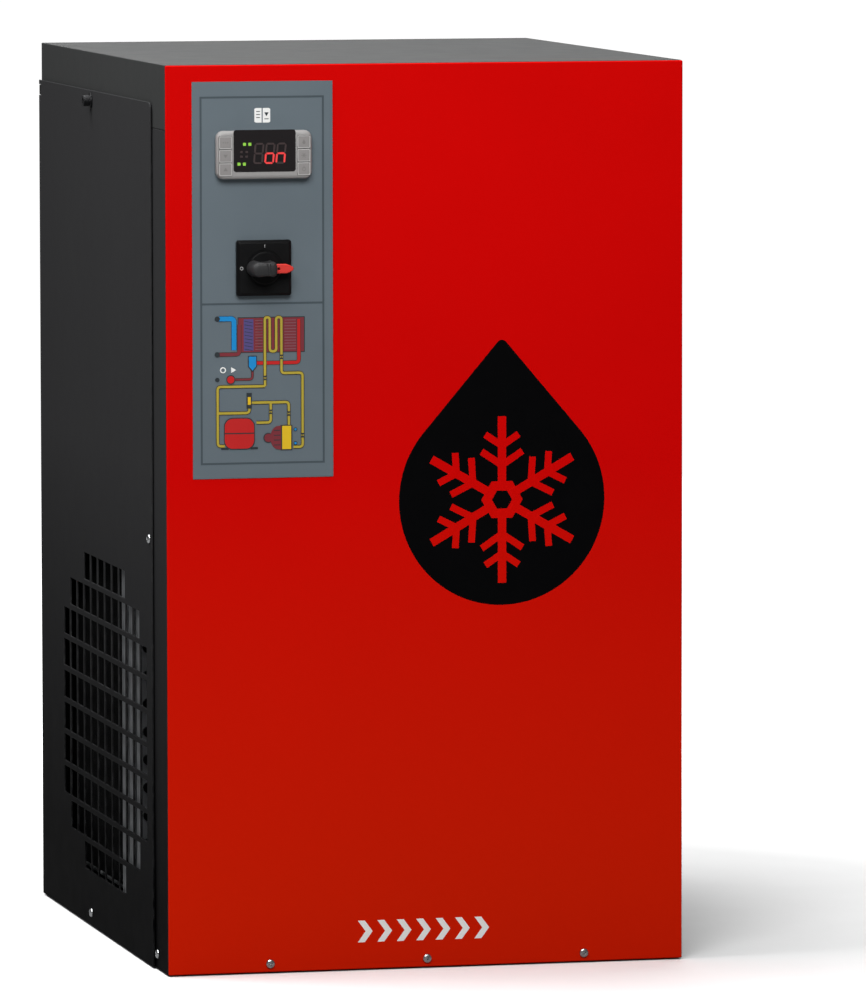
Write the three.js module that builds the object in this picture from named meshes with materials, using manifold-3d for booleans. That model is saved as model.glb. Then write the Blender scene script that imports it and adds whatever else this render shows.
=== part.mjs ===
// A floor-standing refrigerated compressed-air dryer, in millimetres.
// +Z is up, the front panel faces -Y, and the origin is the centre of the base tray's underside.
import * as THREE from "three";
import { mergeVertices } from "three/addons/utils/BufferGeometryUtils.js";
import Module from "manifold-3d";

const wasm = await Module();
wasm.setup();

// ---------- Driving dimensions ----------

const WIDTH = 460; // across the front panel
const DEPTH = 560; // front panel face to rear panel face
const HEIGHT = 789; // floor to top cover
const SHEET = 1.5; // cabinet sheet steel
const GAP = 0.3; // between neighbouring pieces
const FLOOR_GAP = 1; // panel edges to the floor

const HEM = 12; // folded border of a panel
const POST = { face: 77, lip: 30 };
const TRAY_WALL = 30;
const COVER_SKIRT = 56;

const SIDE_PANEL = { fromFront: 55, fromTop: 34, stand: 1, corner: 6 };
const NOTCH = { depth: 10, high: 10, below: 4 }; // finger notch at the rear top corner
const GRILLE = { cell: 31.7, row: 29.2, web: 4, bar: 4.9, top: 452, fromRear: 294 };
const GRILLE_CELLS = [6, 10, 12, 12, 12, 12, 12, 12, 10, 6];

const LABEL = { x: -145, width: 124, top: 14.5, bottom: 357, thick: 0.6, gap: 0.2 };
const CONTROLLER = { z: 711.5, width: 84, height: 44, thick: 9 };
const CONTROLLER_BODY = { width: 70, height: 28, depth: 46 };
const WINDOW = { width: 54, height: 36, thick: 2 };
const KEY = { width: 11.4, height: 10.9, pitch: 11.6, thick: 3, fromEdge: 7.5, drop: 0.6, proud: 0.4 };
const SWITCH = { z: 614, plate: 48, thick: 8, chamfer: 2.5, body: 45, bodyDepth: 42, shaft: 4, hole: 4.7 };
const HANDLE = { left: -19, right: 14, width: 14.8, height: 24, disc: 14, discThick: 3, clearance: 0.4 };
const TAB = { inner: 5, outer: 21, width: 8, thick: 6, slotEnd: -1, depth: 14 };
const BOX = { left: -199, right: -85, bottom: 575, top: 732, depth: 72, wall: 1.2 };

const CORE = { x: -195, y: 48, z: 192, thick: 50, width: 256, height: 295, grooves: 16, groove: 4 };
const BAFFLE = { slat: 13, pitch: 32, count: 3, gap: 3, edge: 3 };
const FAN = { x: -146, radius: 112, hub: 30, blades: 5, depth: 22, shaft: 4, collar: 117, collarDepth: 42 };
const MOTOR = { radius: 42, front: -132, length: 72 };
const COMPRESSOR = { x: 95, y: 60, radius: 90, bottom: 24, top: 236, plate: 3, plateX: 216, plateY: 156 };
const GROMMET = { radius: 13, height: 17, x: 92, y: 62 };

const EXCHANGER = { x: 115, width: 160, front: 74, rear: 272, bottom: 380, top: 720, corner: 18 };
const PORT = { z: 650, spread: 42, inner: 19, outer: 27, reach: 32 };
const SEPARATOR = { x: -28, y: 190, radius: 38, bottom: 420, top: 650 };
const DRIER = { x: -110, y: 205, radius: 20, bottom: 390, top: 505 };

const GLAND = { x: -150, z: 620, shank: 9, nut: 13, reach: 22 };
const DRAIN = { x: -90, z: 90, shank: 7, nut: 11, reach: 18 };
const HOT_GAS = { at: [-10, 30, 420], body: 32, height: 40, coil: 15 };

const SCREW = { head: 4, headHeight: 2.2, shank: 2, length: 7 };
const CAP_SCREW = { head: 5, headHeight: 6, washer: 7, washerThick: 1.6 };
const FRONT_SCREWS = { xs: [-140, 0, 141], z: 8.5 };

const SIDE_SCREWS = {
  top: { y: 34, z: 746 },
  front: { y: -217, z: 375.5 },
  bottom: { y: 48, z: 13 },
  corner: { y: -235, z: 14 },
};

const LEFT = -WIDTH / 2;
const FRONT = -DEPTH / 2;
const REAR = DEPTH / 2;
const FRAME_FRONT = FRONT + 2 * SHEET + GAP; // behind the front panel's hem
const SKIN = LEFT - SIDE_PANEL.stand - SHEET; // outer face of the left side panel

// ---------- Materials ----------

const paint = (color, roughness, metalness = 0) =>
  new THREE.MeshStandardMaterial({ color, roughness, metalness });

const MATERIAL = {
  redPaint: paint(0xcc0503, 0.45),
  blackPaint: paint(0x26272a, 0.6),
  topPaint: paint(0x4a4b4d, 0.55),
  label: paint(0x68757d, 0.5),
  bezel: paint(0x8c8684, 0.5),
  lens: paint(0x0c0c0e, 0.12),
  blackPlastic: paint(0x141416, 0.4),
  redPlastic: paint(0xc2281f, 0.4),
  galvanised: paint(0xa9adb0, 0.4, 1),
  screwZinc: paint(0xc4c6c8, 0.3, 1),
  copper: paint(0xb56a3f, 0.35, 1),
  fins: paint(0x17181a, 0.6),
  rubber: paint(0x111111, 0.9),
  foam: paint(0x1b1c1d, 0.95),
  brass: paint(0xb08d4a, 0.35, 1),
  castGrey: paint(0x55585c, 0.5, 1),
};

// ---------- Geometry helpers ----------

const TURN = { x: [0, 0, -Math.PI / 2], y: [0, 0, 0], z: [Math.PI / 2, 0, 0] };

function toSolid(geometry) {
  const bare = geometry.index ? geometry.toNonIndexed() : geometry.clone();
  bare.deleteAttribute("normal");
  bare.deleteAttribute("uv");
  const merged = mergeVertices(bare, 1e-4);
  const vertProperties = merged.attributes.position.array;
  const triVerts = new Uint32Array(merged.index.array);
  return new wasm.Manifold(new wasm.Mesh({ numProp: 3, vertProperties, triVerts }));
}

function toGeometry(solid) {
  const mesh = solid.getMesh();
  const geometry = new THREE.BufferGeometry();
  geometry.setAttribute("position", new THREE.BufferAttribute(mesh.vertProperties, 3));
  geometry.setIndex(new THREE.BufferAttribute(mesh.triVerts, 1));
  return geometry;
}

const join = (first, ...rest) =>
  toGeometry(rest.reduce((solid, piece) => solid.add(toSolid(piece)), toSolid(first)));

const cut = (first, ...tools) =>
  toGeometry(tools.reduce((solid, tool) => solid.subtract(toSolid(tool)), toSolid(first)));

/** A box between two values on each axis. */
function slab([x0, x1], [y0, y1], [z0, z1]) {
  const box = new THREE.BoxGeometry(x1 - x0, y1 - y0, z1 - z0);
  return box.translate((x0 + x1) / 2, (y0 + y1) / 2, (z0 + z1) / 2);
}

/** A cylinder along one axis, from one value to another on it, centred on at = [x, y, z]. */
function rod(radius, [from, to], axis, at = [0, 0, 0], sides = 16) {
  const cylinder = new THREE.CylinderGeometry(radius, radius, to - from, sides);
  cylinder.rotateX(TURN[axis][0]).rotateZ(TURN[axis][2]);
  const centre = new THREE.Vector3(...at);
  centre[axis] = (from + to) / 2;
  return cylinder.translate(centre.x, centre.y, centre.z);
}

/** A flat plate with rounded corners in its own XY plane, extruded along +Z. */
function roundedPlate(width, height, corner, thick, steps = 2) {
  const [w, h] = [width / 2, height / 2];
  const outline = new THREE.Shape();
  outline.absarc(w - corner, h - corner, corner, 0, Math.PI / 2);
  outline.absarc(corner - w, h - corner, corner, Math.PI / 2, Math.PI);
  outline.absarc(corner - w, corner - h, corner, Math.PI, 1.5 * Math.PI);
  outline.absarc(w - corner, corner - h, corner, 1.5 * Math.PI, 2 * Math.PI);
  return new THREE.ExtrudeGeometry(outline, { depth: thick, bevelEnabled: false, curveSegments: steps });
}

/** A solid of revolution about Z from [radius, z] pairs that start and end on the axis. */
function turned(profile, segments = 24) {
  const points = profile.map(([radius, z]) => new THREE.Vector2(radius, z));
  return new THREE.LatheGeometry(points, segments).rotateX(Math.PI / 2);
}

/** A round tube or cable, solid inside, that follows a smooth line through the points. */
function line(points, radius, sides = 8, stepLength = 3 * radius) {
  const path = new THREE.CatmullRomCurve3(points.map((p) => new THREE.Vector3(...p)), false, "centripetal");
  const section = new THREE.Shape();
  section.absarc(0, 0, radius, 0, 2 * Math.PI);
  const steps = Math.min(60, Math.ceil(path.getLength() / stepLength));
  const settings = { extrudePath: path, steps, curveSegments: sides / 2, bevelEnabled: false };
  return new THREE.ExtrudeGeometry(section, settings);
}

function piece(parent, name, geometry, material, position = [0, 0, 0]) {
  const mesh = new THREE.Mesh(geometry, material.clone());
  mesh.name = name;
  mesh.position.set(...position);
  parent.add(mesh);
  return mesh;
}

function group(parent, position = [0, 0, 0]) {
  const made = new THREE.Group();
  made.position.set(...position);
  parent.add(made);
  return made;
}

// ---------- Cabinet ----------

function baseTray() {
  const [x, y] = [-LEFT - SHEET - GAP, -FRAME_FRONT - SHEET - GAP];
  const wall = SHEET;
  const outer = slab([-x, x], [-y, y], [0, TRAY_WALL]);
  const inner = slab([wall - x, x - wall], [wall - y, y - wall], [wall, TRAY_WALL + 1]);
  const frontHoles = FRONT_SCREWS.xs.map((sx) =>
    rod(SCREW.shank + GAP, [-y - 1, wall - y + 1], "y", [sx, 0, FRONT_SCREWS.z], 8));
  const { bottom, corner } = SIDE_SCREWS;
  const sideHoles = [bottom, corner].map((place) =>
    rod(SCREW.shank + GAP, [-x - 1, wall - x + 1], "x", [0, place.y, place.z], 8));
  return cut(outer, inner, ...frontHoles, ...sideHoles);
}

function frontPanel() {
  const [bottom, top] = [FLOOR_GAP, HEIGHT - GAP];
  const hemmed = slab([LEFT, -LEFT], [FRONT, FRONT + 2 * SHEET], [bottom, top]);
  const recess = slab(
    [LEFT + HEM, -LEFT - HEM],
    [FRONT + SHEET, FRONT + 2 * SHEET + 1],
    [bottom + 2 * HEM, top - HEM],
  );
  const through = [FRONT - 1, FRONT + 2 * SHEET + 1];
  const halfHole = { x: CONTROLLER_BODY.width / 2 + GAP, z: CONTROLLER_BODY.height / 2 + GAP };
  const controllerHole = slab(
    [LABEL.x - halfHole.x, LABEL.x + halfHole.x],
    through,
    [CONTROLLER.z - halfHole.z, CONTROLLER.z + halfHole.z],
  );
  const switchHole = rod(SWITCH.hole, through, "y", [LABEL.x, 0, SWITCH.z]);
  const screwHoles = FRONT_SCREWS.xs.map((x) =>
    rod(SCREW.shank + GAP, through, "y", [x, 0, FRONT_SCREWS.z], 8));
  return cut(hemmed, recess, controllerHole, switchHole, ...screwHoles);
}

/** Top sheet with its skirt folded down on all four sides. */
function topCover() {
  const skirt = HEIGHT - COVER_SKIRT;
  const outer = slab([LEFT, -LEFT], [FRAME_FRONT, REAR], [skirt, HEIGHT]);
  const inner = slab(
    [LEFT + SHEET, -LEFT - SHEET],
    [FRAME_FRONT + SHEET, REAR - SHEET],
    [skirt - 1, HEIGHT - SHEET],
  );
  const screwHoles = [-1, 1].map((side) => {
    const span = side < 0 ? [LEFT - 1, LEFT + SHEET + 1] : [-LEFT - SHEET - 1, 1 - LEFT];
    return rod(SCREW.shank + GAP, span, "x", [0, SIDE_SCREWS.top.y, SIDE_SCREWS.top.z], 8);
  });
  return cut(outer, inner, ...screwHoles);
}

/** Angle-section corner post; side is -1 on the left and 1 on the right, end is -1 in front. */
function cornerPost(side, end) {
  const z = [FLOOR_GAP, HEIGHT - COVER_SKIRT - GAP];
  const ordered = (a, b) => [Math.min(a, b), Math.max(a, b)];
  const outer = side * -LEFT;
  const edge = end < 0 ? FRAME_FRONT : REAR - SHEET - GAP;
  const face = slab(ordered(outer, outer - side * SHEET), ordered(edge, edge - end * POST.face), z);
  const lip = slab(ordered(outer, outer - side * POST.lip), ordered(edge, edge - end * SHEET), z);
  return join(face, lip);
}

/** Ventilated side panel, modelled on the left: a flat skin with a folded rim against the posts. */
function sidePanel(mirror) {
  const [y0, y1] = [FRONT + SIDE_PANEL.fromFront, REAR];
  const [z0, z1] = [FLOOR_GAP, HEIGHT - SIDE_PANEL.fromTop];
  const outline = new THREE.Shape();
  const corner = SIDE_PANEL.corner;
  outline.moveTo(y0, z0);
  outline.lineTo(y1, z0);
  outline.lineTo(y1, z1);
  outline.lineTo(y0 + corner, z1);
  outline.absarc(y0 + corner, z1 - corner, corner, Math.PI / 2, Math.PI);
  const skin = new THREE.ExtrudeGeometry(outline, { depth: SHEET, bevelEnabled: false, curveSegments: 2 });
  skin.rotateX(Math.PI / 2).rotateZ(Math.PI / 2).translate(SKIN, 0, 0);
  const rimDepth = [SKIN + SHEET / 2, LEFT - GAP / 3];
  const rimTop = slab(rimDepth, [y0 + corner, y1 - HEM], [z1 - HEM / 2, z1 - SHEET]);
  const rimFoot = slab(rimDepth, [y0 + corner, y1 - HEM], [z0 + 1, z0 + 4]);
  const { depth, high, below } = NOTCH;
  const notch = slab([SKIN - 1, LEFT], [y1 - depth, y1 + 1], [z1 - below - high, z1 - below]);
  const whole = cut(join(skin, rimTop, rimFoot), notch, ...grilleSlots(), ...panelScrewHoles());
  return mirror ? mirrored(whole) : whole;
}

/** The same solid on the other side of the X = 0 plane. */
function mirrored(geometry) {
  return toGeometry(toSolid(geometry).mirror([1, 0, 0]));
}

/** Rows of cells stepped to a rough octagon in front of the condenser. */
function grilleSlots() {
  const through = [SKIN - 1, SKIN + SHEET + 1];
  const centre = REAR - GRILLE.fromRear;
  return GRILLE_CELLS.flatMap((cells, row) => {
    const top = HEIGHT - GRILLE.top - row * GRILLE.row;
    const start = centre - (cells * GRILLE.cell) / 2;
    return Array.from({ length: cells }, (_, i) => {
      const y = start + i * GRILLE.cell + GRILLE.web / 2;
      return slab(through, [y, y + GRILLE.cell - GRILLE.web], [top - GRILLE.row + GRILLE.bar, top]);
    });
  });
}

function panelScrewHoles() {
  const { top, front, bottom } = SIDE_SCREWS;
  const through = [SKIN - 1, SKIN + SHEET + 1];
  return [top, front, bottom].map(({ y, z }) => rod(SCREW.shank + GAP, through, "x", [0, y, z], 8));
}

function rearPanel() {
  const x = -LEFT - GAP;
  const plate = slab([-x, x], [REAR - SHEET, REAR], [FLOOR_GAP, HEIGHT - COVER_SKIRT - GAP]);
  const through = [REAR - SHEET - 1, REAR + 1];
  const ports = [-1, 1].map((side) =>
    rod(PORT.outer + 1.5, through, "y", [EXCHANGER.x + side * PORT.spread, 0, PORT.z], 32));
  const gland = rod(GLAND.shank + GAP, through, "y", [GLAND.x, 0, GLAND.z]);
  const drain = rod(DRAIN.shank + GAP, through, "y", [DRAIN.x, 0, DRAIN.z]);
  return cut(plate, ...ports, gland, drain);
}

function cabinet(parent) {
  piece(parent, "base_tray", baseTray(), MATERIAL.blackPaint);
  piece(parent, "front_panel", frontPanel(), MATERIAL.redPaint);
  piece(parent, "top_cover", topCover(), MATERIAL.topPaint);
  piece(parent, "rear_panel", rearPanel(), MATERIAL.blackPaint);
  for (const [end, endName] of [[-1, "front"], [1, "rear"]])
    for (const [side, sideName] of [[-1, "left"], [1, "right"]])
      piece(parent, `${endName}_${sideName}_post`, drilledPost(side, end), MATERIAL.blackPaint);
  piece(parent, "left_side_panel", sidePanel(false), MATERIAL.blackPaint);
  piece(parent, "right_side_panel", sidePanel(true), MATERIAL.blackPaint);
}

/** The front posts take the side panel's middle screw and the cabinet's corner screw. */
function drilledPost(side, end) {
  const post = cornerPost(side, end);
  if (end > 0) return post;
  const span = side < 0 ? [LEFT - 1, LEFT + SHEET + 1] : [-LEFT - SHEET - 1, 1 - LEFT];
  const { front, corner } = SIDE_SCREWS;
  return cut(post, ...[front, corner].map(({ y, z }) => rod(SCREW.shank + GAP, span, "x", [0, y, z], 8)));
}

// ---------- Fasteners ----------

/** Pan-head screw along Z: head up from 0, shank down. */
function panScrew() {
  const { head, headHeight, shank, length } = SCREW;
  return turned([[0, -length], [shank, -length], [shank, 0], [head, 0], [head, 1],
    [0.8 * head, 0.85 * headHeight], [0.4 * head, headHeight], [0, headHeight]], 12);
}

/** Socket cap screw on a washer, along Z. */
function capScrew() {
  const { head, headHeight, washer, washerThick } = CAP_SCREW;
  const body = turned([[0, -SCREW.length], [SCREW.shank, -SCREW.length], [SCREW.shank, 0], [washer, 0],
    [washer, washerThick], [head, washerThick], [head, washerThick + headHeight],
    [0, washerThick + headHeight]], 16);
  const socket = rod(2.6, [washerThick + 3, washerThick + headHeight + 1], "z", [0, 0, 0], 6);
  return cut(body, socket);
}

function fasteners(parent) {
  FRONT_SCREWS.xs.forEach((x, i) => {
    const screw = piece(parent, `front_screw_${i + 1}`, panScrew(), MATERIAL.screwZinc,
      [x, FRONT - GAP / 3, FRONT_SCREWS.z]);
    screw.rotation.x = Math.PI / 2;
  });
  const outward = (mesh) => {
    mesh.rotation.y = -Math.PI / 2;
  };
  const { top, front, bottom, corner } = SIDE_SCREWS;
  const onSkin = SKIN - GAP / 3;
  outward(piece(parent, "side_cap_screw", capScrew(), MATERIAL.blackPlastic, [onSkin, top.y, top.z]));
  outward(piece(parent, "side_screw_front", panScrew(), MATERIAL.screwZinc, [onSkin, front.y, front.z]));
  outward(piece(parent, "side_screw_bottom", panScrew(), MATERIAL.screwZinc, [onSkin, bottom.y, bottom.z]));
  outward(piece(parent, "post_screw_corner", panScrew(), MATERIAL.screwZinc,
    [LEFT - GAP / 3, corner.y, corner.z]));
}

// ---------- Control panel ----------

const faceY = -(LABEL.gap + LABEL.thick + LABEL.gap); // where fittings seat on the label

function controlLabel() {
  const z = [HEIGHT - LABEL.bottom, HEIGHT - LABEL.top];
  const sheet = slab([-LABEL.width / 2, LABEL.width / 2], [-LABEL.gap - LABEL.thick, -LABEL.gap], z);
  const half = { x: CONTROLLER_BODY.width / 2 + GAP, z: CONTROLLER_BODY.height / 2 + GAP };
  const opening = slab([-half.x, half.x], [-5, 5], [CONTROLLER.z - half.z, CONTROLLER.z + half.z]);
  return cut(sheet, opening, rod(SWITCH.hole, [-5, 5], "y", [0, 0, SWITCH.z]));
}

const keyX = CONTROLLER.width / 2 - KEY.fromEdge;
const keyZ = (row) => (1 - row) * KEY.pitch - KEY.drop;

/** Bezel with two key wings and a display pocket, and the body that passes through the panel. */
function controllerHousing() {
  const { width, height, thick } = CONTROLLER;
  const face = faceY - thick;
  const plate = roundedPlate(width, height, 5, thick).rotateX(Math.PI / 2).translate(0, faceY, 0);
  const halfBody = { x: CONTROLLER_BODY.width / 2, z: CONTROLLER_BODY.height / 2 };
  const body = slab(
    [-halfBody.x, halfBody.x],
    [faceY - 1, faceY + CONTROLLER_BODY.depth],
    [-halfBody.z, halfBody.z],
  );
  const top = height / 2;
  const pocket = slab(
    [-WINDOW.width / 2 - GAP, WINDOW.width / 2 + GAP],
    [face - 1, face + WINDOW.thick + GAP],
    [top - WINDOW.height - GAP, top + 1],
  );
  const wells = keyPlaces().map(([x, z]) => slab(
    [x - KEY.width / 2 - GAP, x + KEY.width / 2 + GAP],
    [face - 1, face + KEY.thick + 1.2],
    [z - KEY.height / 2 - GAP, z + KEY.height / 2 + GAP],
  ));
  return cut(join(plate, body), pocket, ...wells);
}

function keyPlaces() {
  return [-1, 1].flatMap((side) => [0, 1, 2].map((row) => [side * keyX, keyZ(row)]));
}

function keyCap() {
  const { width, height, thick } = KEY;
  return roundedPlate(width, height, 1, thick, 1).rotateX(Math.PI / 2);
}

function switchPlate() {
  const half = SWITCH.plate / 2;
  const inset = half - SWITCH.chamfer;
  const straight = SWITCH.thick - SWITCH.chamfer;
  const base = slab([-half, half], [-straight, 0], [-half, half]);
  const frustum = new THREE.CylinderGeometry(half * Math.SQRT2, inset * Math.SQRT2, SWITCH.chamfer, 4);
  frustum.rotateY(Math.PI / 4).translate(0, -straight - SWITCH.chamfer / 2, 0);
  return cut(join(base, frustum), rod(SWITCH.hole, [-20, 5], "y"));
}

function switchBody() {
  const half = SWITCH.body / 2;
  const block = slab([-half, half], [0, SWITCH.bodyDepth], [-half, half]);
  return cut(block, rod(SWITCH.hole, [-1, SWITCH.bodyDepth - 8], "y"));
}

/** Grip bar on a disc, with the square of the shaft behind it and a slot for the padlock tab. */
function switchHandle() {
  const { left, right, width, height, disc, discThick } = HANDLE;
  const grip = roundedPlate(right - left, width, width / 2 - 0.1, height - discThick, 4);
  grip.rotateX(Math.PI / 2).translate((left + right) / 2, -discThick + 0.5, 0);
  const base = rod(disc, [-discThick, 0], "y", [0, 0, 0], 24);
  const shaft = rod(SWITCH.shaft, [-1, SWITCH.thick + SWITCH.bodyDepth - 14], "y");
  const mid = -discThick - TAB.depth / 2;
  const slot = slab(
    [TAB.slotEnd, right + 1],
    [mid - TAB.thick / 2 - GAP, mid + TAB.thick / 2 + GAP],
    [-TAB.width / 2 - GAP, TAB.width / 2 + GAP],
  );
  return cut(join(grip, base, shaft), slot);
}

function padlockTab() {
  const { inner, outer, width, thick } = TAB;
  const outline = new THREE.Shape();
  const shoulder = outer - 6;
  outline.moveTo(inner, -width / 2);
  outline.lineTo(shoulder, -width / 2);
  outline.lineTo(outer, -1.6);
  outline.lineTo(outer, 1.6);
  outline.lineTo(shoulder, width / 2);
  outline.lineTo(inner, width / 2);
  outline.closePath();
  const tab = new THREE.ExtrudeGeometry(outline, { depth: thick, bevelEnabled: false });
  return tab.rotateX(Math.PI / 2).translate(0, -HANDLE.discThick - TAB.depth / 2 + thick / 2, 0);
}

/** Sheet box behind the front panel, open towards it. */
function electricalBox() {
  const { left, right, bottom, top, depth, wall } = BOX;
  const front = FRONT + SHEET + GAP;
  const outer = slab([left, right], [front, front + depth], [bottom, top]);
  const inner = slab(
    [left + wall, right - wall],
    [front - 1, front + depth - wall],
    [bottom + wall, top - wall],
  );
  return cut(outer, inner);
}

function controls(parent) {
  const panel = group(parent, [LABEL.x, FRONT, 0]);
  piece(panel, "control_label", controlLabel(), MATERIAL.label);
  const controller = group(panel, [0, 0, CONTROLLER.z]);
  piece(controller, "controller_housing", controllerHousing(), MATERIAL.bezel);
  const face = faceY - CONTROLLER.thick;
  const window = slab(
    [-WINDOW.width / 2, WINDOW.width / 2],
    [face, face + WINDOW.thick],
    [CONTROLLER.height / 2 - WINDOW.height, CONTROLLER.height / 2],
  );
  piece(controller, "controller_window", window, MATERIAL.lens);
  keyPlaces().forEach(([x, z], i) => {
    const name = `key_${i < 3 ? "left" : "right"}_${(i % 3) + 1}`;
    piece(controller, name, keyCap(), MATERIAL.bezel, [x, face - KEY.proud + KEY.thick, z]);
  });
  const rotary = group(panel, [0, faceY, SWITCH.z]);
  piece(rotary, "switch_plate", switchPlate(), MATERIAL.blackPlastic);
  const behindPanel = SHEET - faceY + GAP;
  piece(rotary, "switch_body", switchBody(), MATERIAL.blackPlastic, [0, behindPanel, 0]);
  const handle = group(rotary, [0, -SWITCH.thick - HANDLE.clearance, 0]);
  piece(handle, "switch_handle", switchHandle(), MATERIAL.blackPlastic);
  piece(handle, "padlock_tab", padlockTab(), MATERIAL.redPlastic);
  piece(parent, "electrical_box", electricalBox(), MATERIAL.galvanised);
}

// ---------- Condenser and fan ----------

/** Fin block, its fins drawn as vertical ridges on both faces, with return bends at the rear. */
function condenserCore() {
  const { thick, width, height, grooves, groove } = CORE;
  const pitch = width / grooves;
  const outline = new THREE.Shape();
  outline.moveTo(-thick / 2, -width / 2);
  const ridges = Array.from({ length: grooves }, (_, i) => -width / 2 + i * pitch);
  for (const y of ridges) {
    outline.lineTo(thick / 2, y + 0.01);
    outline.lineTo(thick / 2, y + 0.6 * pitch);
    outline.lineTo(thick / 2 - groove, y + 0.6 * pitch);
    outline.lineTo(thick / 2 - groove, y + pitch);
  }
  outline.lineTo(-thick / 2 + groove, width / 2);
  for (const y of ridges.toReversed()) {
    outline.lineTo(-thick / 2 + groove, y + 0.6 * pitch);
    outline.lineTo(-thick / 2, y + 0.6 * pitch);
    outline.lineTo(-thick / 2, y + 0.01);
    if (y > ridges[0]) outline.lineTo(-thick / 2 + groove, y);
  }
  const fins = new THREE.ExtrudeGeometry(outline, { depth: height, bevelEnabled: false });
  const bends = [-1, 0, 1].map((i) => {
    const bend = new THREE.TorusGeometry(14, 5, 8, 8, 2 * Math.PI);
    return bend.rotateY(Math.PI / 2).translate(0, width / 2, height / 2 + i * 90);
  });
  return join(fins, ...bends);
}

/** Galvanised air guide: three upright slats close behind the side panel, folded back to the coil. */
function condenserBaffle() {
  const { x, y, width, thick, z, height } = CORE;
  const near = y - width / 2 - GAP;
  const span = [z - height / 2, z + height / 2];
  const { slat, pitch, count, gap, edge } = BAFFLE;
  const outer = SKIN + SHEET + gap;
  const first = near + 8;
  const last = first - (count - 1) * pitch - slat;
  const face = slab([outer, outer + SHEET], [last, first], span);
  const windows = Array.from({ length: count - 1 }, (_, i) => slab(
    [outer - 1, outer + SHEET + 1],
    [first - (i + 1) * pitch, first - i * pitch - slat],
    [span[0] + edge, span[1] - edge],
  ));
  const fold = slab([outer, x + thick / 2], [near - SHEET, near], span);
  return join(cut(face, ...windows), fold);
}

/** Square orifice plate with a collar round the blades and four arms that carry the motor. */
function fanShroud() {
  const { x, y, z, thick, width, height } = CORE;
  const plateX = x + thick / 2 + GAP;
  const plate = slab(
    [plateX, plateX + SHEET],
    [y - width / 2, y + width / 2],
    [z - height / 2, z + height / 2],
  );
  const end = plateX + FAN.collarDepth;
  const collar = rod(FAN.collar + 2, [plateX, end], "x", [0, y, z], 32);
  const bore = rod(FAN.collar, [plateX - 1, end + 1], "x", [0, y, z], 32);
  const ring = cut(rod(MOTOR.radius + 4, [end - 3, end], "x", [0, y, z], 24),
    rod(MOTOR.radius + GAP, [end - 4, end + 1], "x", [0, y, z], 24));
  const arms = [0, 1, 2, 3].map((i) => {
    const arm = slab([end - 3, end], [-4, 4], [MOTOR.radius + 2, FAN.collar + 1]);
    return arm.rotateX(Math.PI / 4 + (i * Math.PI) / 2).translate(0, y, z);
  });
  return join(cut(join(plate, collar), bore), ring, ...arms);
}

/** Five twisted blades on a hub that turns about X. */
function fanRotor() {
  const { hub, radius, blades, depth, shaft } = FAN;
  const centre = rod(hub, [-depth / 2, depth / 2], "x", [0, 0, 0], 20);
  const spindle = rod(shaft, [-depth / 2, depth / 2 + 20], "x", [0, 0, 0], 12);
  const blade = (i) => {
    const plate = slab([-1, 1], [-34, 34], [hub - 4, radius - 6]);
    return plate.rotateZ(0.28).rotateX((2 * Math.PI * i) / blades);
  };
  return join(centre, spindle, ...Array.from({ length: blades }, (_, i) => blade(i)));
}

function fanMotor() {
  const { radius, front, length } = MOTOR;
  const can = rod(radius, [front, front + length], "x", [0, 0, 0], 24);
  const cap = rod(radius - 8, [front + length - 1, front + length + 10], "x", [0, 0, 0], 24);
  const bore = rod(FAN.shaft + 1, [front - 1, front + 30], "x", [0, 0, 0], 12);
  return cut(join(can, cap), bore);
}

function cooling(parent) {
  const { x, y, z, height } = CORE;
  piece(parent, "condenser_core", condenserCore(), MATERIAL.fins, [x, y, z - height / 2]);
  piece(parent, "condenser_baffle", condenserBaffle(), MATERIAL.galvanised);
  piece(parent, "fan_shroud", fanShroud(), MATERIAL.blackPaint);
  const axis = group(parent, [0, y, z]);
  piece(axis, "fan_rotor", fanRotor(), MATERIAL.blackPlastic, [FAN.x, 0, 0]);
  piece(axis, "fan_motor", fanMotor(), MATERIAL.castGrey);
}

// ---------- Compressor ----------

function compressorShell() {
  const { radius, bottom, top } = COMPRESSOR;
  const height = top - bottom;
  return turned([[0, 0], [0.7 * radius, 0], [0.93 * radius, 14], [radius, 34], [radius, 0.42 * height],
    [1.03 * radius, 0.42 * height], [1.03 * radius, 0.46 * height], [radius, 0.46 * height],
    [radius, height - 52], [0.88 * radius, height - 20], [0.6 * radius, height - 4], [0, height]]);
}

function compressor(parent) {
  const { x, y, bottom, plate, plateX, plateY } = COMPRESSOR;
  const unit = group(parent, [x, y, 0]);
  const floor = SHEET + GAP;
  piece(unit, "compressor_shell", compressorShell(), MATERIAL.blackPaint, [0, 0, bottom + GAP]);
  const foot = roundedPlate(plateX, plateY, 12, plate);
  piece(unit, "compressor_base_plate", foot, MATERIAL.blackPaint, [0, 0, bottom - plate]);
  [[-1, -1], [1, -1], [1, 1], [-1, 1]].forEach(([sx, sy], i) => {
    const { radius, height } = GROMMET;
    const profile = [[0, 0], [radius, 0], [radius, height * 0.3], [0.75 * radius, height * 0.5],
      [radius, height * 0.7], [radius, height], [0, height]];
    piece(unit, `compressor_grommet_${i + 1}`, turned(profile, 12), MATERIAL.rubber,
      [sx * GROMMET.x, sy * GROMMET.y, floor]);
  });
  const terminal = slab([-26, 26], [-COMPRESSOR.radius - 30, -COMPRESSOR.radius - 3], [90, 150]);
  piece(unit, "compressor_terminal_box", terminal, MATERIAL.blackPlastic);
}

// ---------- Air circuit ----------

function heatExchanger() {
  const { width, front, rear, bottom, top, corner } = EXCHANGER;
  return roundedPlate(width, rear - front, corner, top - bottom).translate(0, (front + rear) / 2, bottom);
}

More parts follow.
